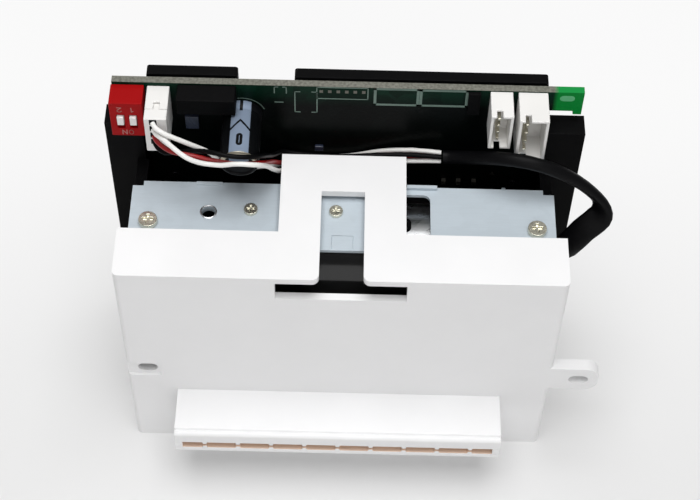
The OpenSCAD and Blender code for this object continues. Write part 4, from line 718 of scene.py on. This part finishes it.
connect(tree, shader, shown, rough, grain["Height"], CAP_BUMP)
finishes["capacitor_sleeve"] = cap_finish
print(len(finishes), "finishes")

# %% [markdown]
# ## Dressing the solids
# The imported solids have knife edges, and real parts never do. A Weld modifier joins the imported
# triangles, a Decimate modifier merges the level ones into whole faces, and a Bevel rounds each sharp edge
# by a width that suits the piece, so the mesh itself stays as packed. Large mouldings get a broad soft
# edge, pressed sheet a tight one.

# %% Edges and finishes for every solid
EDGE_WIDTHS = {"front_cover": 0.45, "mouth": 0.35, "top_bracket": 0.12, "rear_panel": 0.5,
               "main_board": 0.06, "dip_switch": 0.15, "lead_plug": 0.2, "lead_header": 0.15,
               "small_header": 0.15, "large_header": 0.15, "relay": 0.3, "bottom_cover": 0.3,
               "left_side_frame": 0.3, "right_side_frame": 0.3,
               "dip_lever_1": 0.12, "dip_lever_2": 0.12, "bracket_screws": 0.15,
               "small_screws": 0.12, "case_screws": 0.2}
PLAIN_EDGE = 0.08
EDGE_STEPS = 3
WELD_WITHIN = 0.000001
LEVEL_WITHIN, SHARP_FROM, CRISP_ANGLE = (math.radians(angle) for angle in (1, 40, 36))


def smooth_by_angle(angle):
    """A modifier's node tree that shades faces smooth, except across edges sharper than the angle."""
    tree = bpy.data.node_groups.new("smooth_by_angle", "GeometryNodeTree")
    for side in ("INPUT", "OUTPUT"):
        tree.interface.new_socket("Geometry", in_out=side, socket_type="NodeSocketGeometry")
    source, result = tree.nodes.new("NodeGroupInput"), tree.nodes.new("NodeGroupOutput")
    faces = add(tree, "GeometryNodeSetShadeSmooth", {"Geometry": source.outputs[0], "Shade Smooth": True})
    bend = add(tree, "GeometryNodeInputMeshEdgeAngle").outputs["Unsigned Angle"]
    gentle = add(tree, "FunctionNodeCompare", {0: bend, 1: angle}, operation="LESS_THAN").outputs[0]
    edges = add(tree, "GeometryNodeSetShadeSmooth",
                {"Geometry": faces.outputs[0], "Shade Smooth": gentle}, domain="EDGE")
    tree.links.new(edges.outputs[0], result.inputs[0])
    return tree


rounding = smooth_by_angle(CRISP_ANGLE)


def soften(piece, width):
    """Rounds the sharp edges of a piece by a width in millimetres, with modifiers only."""
    weld = piece.modifiers.new("join_triangles", "WELD")
    weld.merge_threshold = WELD_WITHIN
    whole = piece.modifiers.new("whole_faces", "DECIMATE")
    whole.decimate_type = "DISSOLVE"
    whole.angle_limit = LEVEL_WITHIN
    bevel = piece.modifiers.new("soft_edge", "BEVEL")
    bevel.width = width * MM
    bevel.segments = EDGE_STEPS
    bevel.limit_method = "ANGLE"
    bevel.angle_limit = SHARP_FROM
    bevel.use_clamp_overlap = True
    piece.modifiers.new("smooth_by_angle", "NODES").node_group = rounding
    piece.modifiers.new("flat_faces", "WEIGHTED_NORMAL").keep_sharp = True
    return piece


def dress(piece, finish):
    piece.data.materials.clear()
    piece.data.materials.append(finishes[finish])
    return piece


def small_piece(name, skin, slot, finish=None, edge=None):
    """A small added piece with the slot's own finish or another, and with rounded edges if asked."""
    piece = new_piece(name, *skin, slot)
    if edge:
        soften(piece, edge)
    return dress(piece, finish or slot)


for subpart in frame["record"]["subparts"]:
    node = nodes[subpart["node"]]
    dress(node, subpart["material_slot"])
    soften(node, EDGE_WIDTHS.get(subpart["node"], PLAIN_EDGE))
dress(nodes["mouth"], "mouth_white")
for piece in cord_pieces + [capacitor]:
    dress(piece, piece["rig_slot"])

# %% [markdown]
# ## Legends and small parts
# A board carries a screened legend: outlines of parts, brackets and an arc round the capacitor. The red
# switch has its numbers and the word for its closed side, upside down because the switch is. All of them
# are thin ribbons laid on an upright face, so one helper makes each stroke. Chips and pads are slightly
# thicker plates on the same face, and the plug's wire holes are black plates there of painted shade.

# %% Plates and strokes on upright faces
def joined(skins):
    """Several skins as one list of points and one of faces."""
    points, faces = [], []
    for more_points, more_faces in skins:
        start = len(points)
        points.extend(more_points)
        faces.extend(tuple(index + start for index in face) for face in more_faces)
    return points, faces


def plate(outline, y, thickness):
    """A plate with an outline of (x, z) points, standing out to the front of the face at y."""
    return ring_skin([[Vector((x, depth, z)) for x, z in outline] for depth in (y - thickness, y)])


def rectangle(left, low, right, high):
    return [(left, low), (right, low), (right, high), (left, high)]


INK_THICKNESS = 0.03


def strokes(lines, width, y, thickness=INK_THICKNESS):
    """Ribbons along lines of (x, z) points."""
    skins = []
    for line in lines:
        for start, end in zip(line, line[1:]):
            start, end = Vector(start), Vector(end)
            along = (end - start).normalized() * width / 2
            aside = Vector((-along.y, along.x))
            start, end = start - along, end + along
            corners = (start - aside, end - aside, end + aside, start + aside)
            skins.append(plate([tuple(corner) for corner in corners], y, thickness))
    return joined(skins)


def closed(outline):
    return outline + outline[:1]


def arc(middle, radius, start, end, steps=16):
    angles = [math.radians(start + (end - start) * i / steps) for i in range(steps + 1)]
    return [(middle[0] + radius * math.cos(a), middle[1] + radius * math.sin(a)) for a in angles]


# %% Legend of the board
THIN_STROKE, THICK_STROKE = 0.22, 0.55
# Lines of (x, z) points
thin_lines = [
    closed(rectangle(-5.8, 75.8, 4.45, 79.2)),
    [(-9.2, 77.7), (-10.2, 77.7), (-10.2, 71.5), (-9.2, 71.5)],
    [(-6.75, 77.7), (-5.75, 77.7), (-5.75, 71.5), (-6.75, 71.5)],
    [(-14.3, 77.2), (-14.3, 79), (-13.6, 79)],
    [(-12.6, 79), (-11.9, 79), (-11.9, 77.2)],
    arc((CAP_X, CAP_Z), 4.7, 20, 120),
    [(-14.2, 74.4), (-12.6, 74.4)],
]
thick_lines = [closed(rectangle(5.9, 74.4, 14.5, 79.1)), closed(rectangle(15.1, 74.4, 24.3, 79))]
legend = joined([strokes(thin_lines, THIN_STROKE, BOARD_FACE),
                 strokes(thick_lines, THICK_STROKE, BOARD_FACE)])
small_piece("board_legend", legend, "board_green", "legend_ink_painted_shade")
ear_mark = arc((45.1, 77.6), 0.8, -90, 90, 8) + arc((43.7, 77.6), 0.8, 90, 270, 8)
small_piece("ear_mark", plate(ear_mark, BOARD_FACE, INK_THICKNESS), "board_green", "ear_ink_painted_glow")

# %% Pads, pins and small parts on the board
PAD_LEFT, PAD_PITCH, PAD_COUNT = -4.9, 1.7, 6
PAD_HALF, PAD_LOW, PAD_HIGH, PAD_THICKNESS = 0.35, 77.6, 78.4, 0.05
pads = [plate(rectangle(x - PAD_HALF, PAD_LOW, x + PAD_HALF, PAD_HIGH), BOARD_FACE, PAD_THICKNESS)
        for x in (PAD_LEFT + PAD_PITCH * i for i in range(PAD_COUNT))]
small_piece("board_pads", joined(pads), "pin_metal", "dull_tin")
PINS_X = (21.2, 24.35, 27.6)
PIN_HALF, PIN_LOW, PIN_HIGH, PIN_THICKNESS = 0.45, 49.7, 50.8, 0.9
pins = [plate(rectangle(x - PIN_HALF, PIN_LOW, x + PIN_HALF, PIN_HIGH), BOARD_FACE, PIN_THICKNESS)
        for x in PINS_X]
# A bare three-cornered pad lies beside the pins
pins.append(plate([(30.7, 52.4), (31.9, 52.4), (31.3, 53.5)], BOARD_FACE, PAD_THICKNESS))
small_piece("board_pins", joined(pins), "pin_metal", "dull_tin")
small_piece("board_small_part", plate(rectangle(24.6, 72.8, 27, 79.1), BOARD_FACE, 0.9), "black_plastic",
            edge=0.15)
film_parts = [plate(rectangle(-32.6, 66.5, -29.8, 70.3), BOARD_FACE, 1.1),
              plate(rectangle(-6.2, 59.8, -4.4, 61.3), BOARD_FACE, 0.8)]
small_piece("board_film_parts", joined(film_parts), "clear_plastic", "film_blue", edge=0.2)
print("legend has", len(legend[1]), "faces")

# %% Marks on the switch, and painted shade in the plug's wire holes
SWITCH_FACE = 9.9
PLUG_FACE = 6.2
# Each sign is a line in a box one wide and one high
SIGNS = {
    "1": [(0.2, 0.75), (0.6, 1), (0.6, 0)],
    "2": [(0, 0.75), (0.2, 0.95), (0.5, 1), (0.8, 0.95), (1, 0.75), (1, 0.6), (0, 0), (1, 0)],
    "O": closed(arc((0.5, 0.5), 0.5, 0, 360, 16)),
    "N": [(0, 0), (0, 1), (1, 0), (1, 1)],
}
SIGN_WIDTH, SIGN_HEIGHT, SIGN_STROKE = 0.85, 1.3, 0.16
MARK_THICKNESS = 0.02


def upside_down(sign, left, low):
    return [(left + (1 - u) * SIGN_WIDTH, low + (1 - v) * SIGN_HEIGHT) for u, v in SIGNS[sign]]


switch_lines = [upside_down("2", -45.4, 76.1), upside_down("1", -42.9, 76.1),
                upside_down("N", -44.8, 69.3), upside_down("O", -43.5, 69.3)]
marks = strokes(switch_lines, SIGN_STROKE, SWITCH_FACE, MARK_THICKNESS)
small_piece("switch_marks", marks, "switch_red", "switch_ink")
# Painted shade: a black plate on the plug's face for each wire hole
WIRE_HOLE_X, WIRE_HOLE_HALF, WIRE_HOLES_Z = -37.9, 0.75, (77.6, 75.7, 73.7, 71.7)
holes = [plate(rectangle(WIRE_HOLE_X - WIRE_HOLE_HALF, z - WIRE_HOLE_HALF, WIRE_HOLE_X + WIRE_HOLE_HALF,
                         z + WIRE_HOLE_HALF), PLUG_FACE, MARK_THICKNESS) for z in WIRE_HOLES_Z]
small_piece("plug_hole_painted_shade", joined(holes), "connector_white", "black_plastic")

# %% [markdown]
# ## Top bracket
# Tapping a thread in thin sheet raises a bright burr round the hole. A strip of black on the inner face of
# the rear fold, and a dark plate just under the rim of the can's vent, are painted shade. All are small, but
# catch
# the eye against plain metal: the burr as a ring of slopes, the painted shade as thin plates.

# %% Burr, and painted shade on the fold and in the vent
HOLE_X, HOLE_Y, HOLE_R = -27.3, -1.8, 1.4
BRACKET_TOP = 59.4
BURR_SIDES, BURR_CREASE = 40, 80
# Radius and height of each ring of the burr, from the bracket's face over its crest into the hole
BURR_PROFILE = ((0.35, 0.0), (0.2, 0.1), (0.06, 0.12), (-0.02, 0.02))
burr_angles = [math.tau * i / BURR_SIDES for i in range(BURR_SIDES)]
burr_rings = [[Vector((HOLE_X + (HOLE_R + out) * math.cos(a), HOLE_Y + (HOLE_R + out) * math.sin(a),
                       BRACKET_TOP + up)) for a in burr_angles] for out, up in BURR_PROFILE]
burr = ring_skin(burr_rings + burr_rings[:1], capped=False)
shade_smooth(small_piece("hole_burr", burr, "zinc_steel", "can_steel"), BURR_CREASE)
# Painted shade: a thin black plate on the fold's inner face, seen through the bracket's window
FOLD_FACE, SHADE_PLATE_THICKNESS = 4.9, 0.08
fold_shade = plate(rectangle(6.5, 55.7, 19.5, 58.5), FOLD_FACE, SHADE_PLATE_THICKNESS)
small_piece("fold_painted_shade", fold_shade, "black_plastic")
VENT_X, VENT_Y = 12.8, -2.5
VENT_HALF, VENT_R = 0.65, 1.18
# Painted shade: a dark plate just under the vent's rim, at these depths below the can's top
SHADE_PLATE_DROPS = (0.25, 0.4)
can_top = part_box("motor_can")[1][2] / MM
vent = (arc((VENT_X, VENT_Y + VENT_HALF), VENT_R, 0, 180) +
        arc((VENT_X, VENT_Y - VENT_HALF), VENT_R, 180, 360))
vent_shade_rings = [[Vector((x, y, can_top - drop)) for x, y in vent] for drop in SHADE_PLATE_DROPS]
small_piece("vent_painted_shade", ring_skin(vent_shade_rings), "black_plastic")
print("can's top at", round(can_top, 2), "mm")
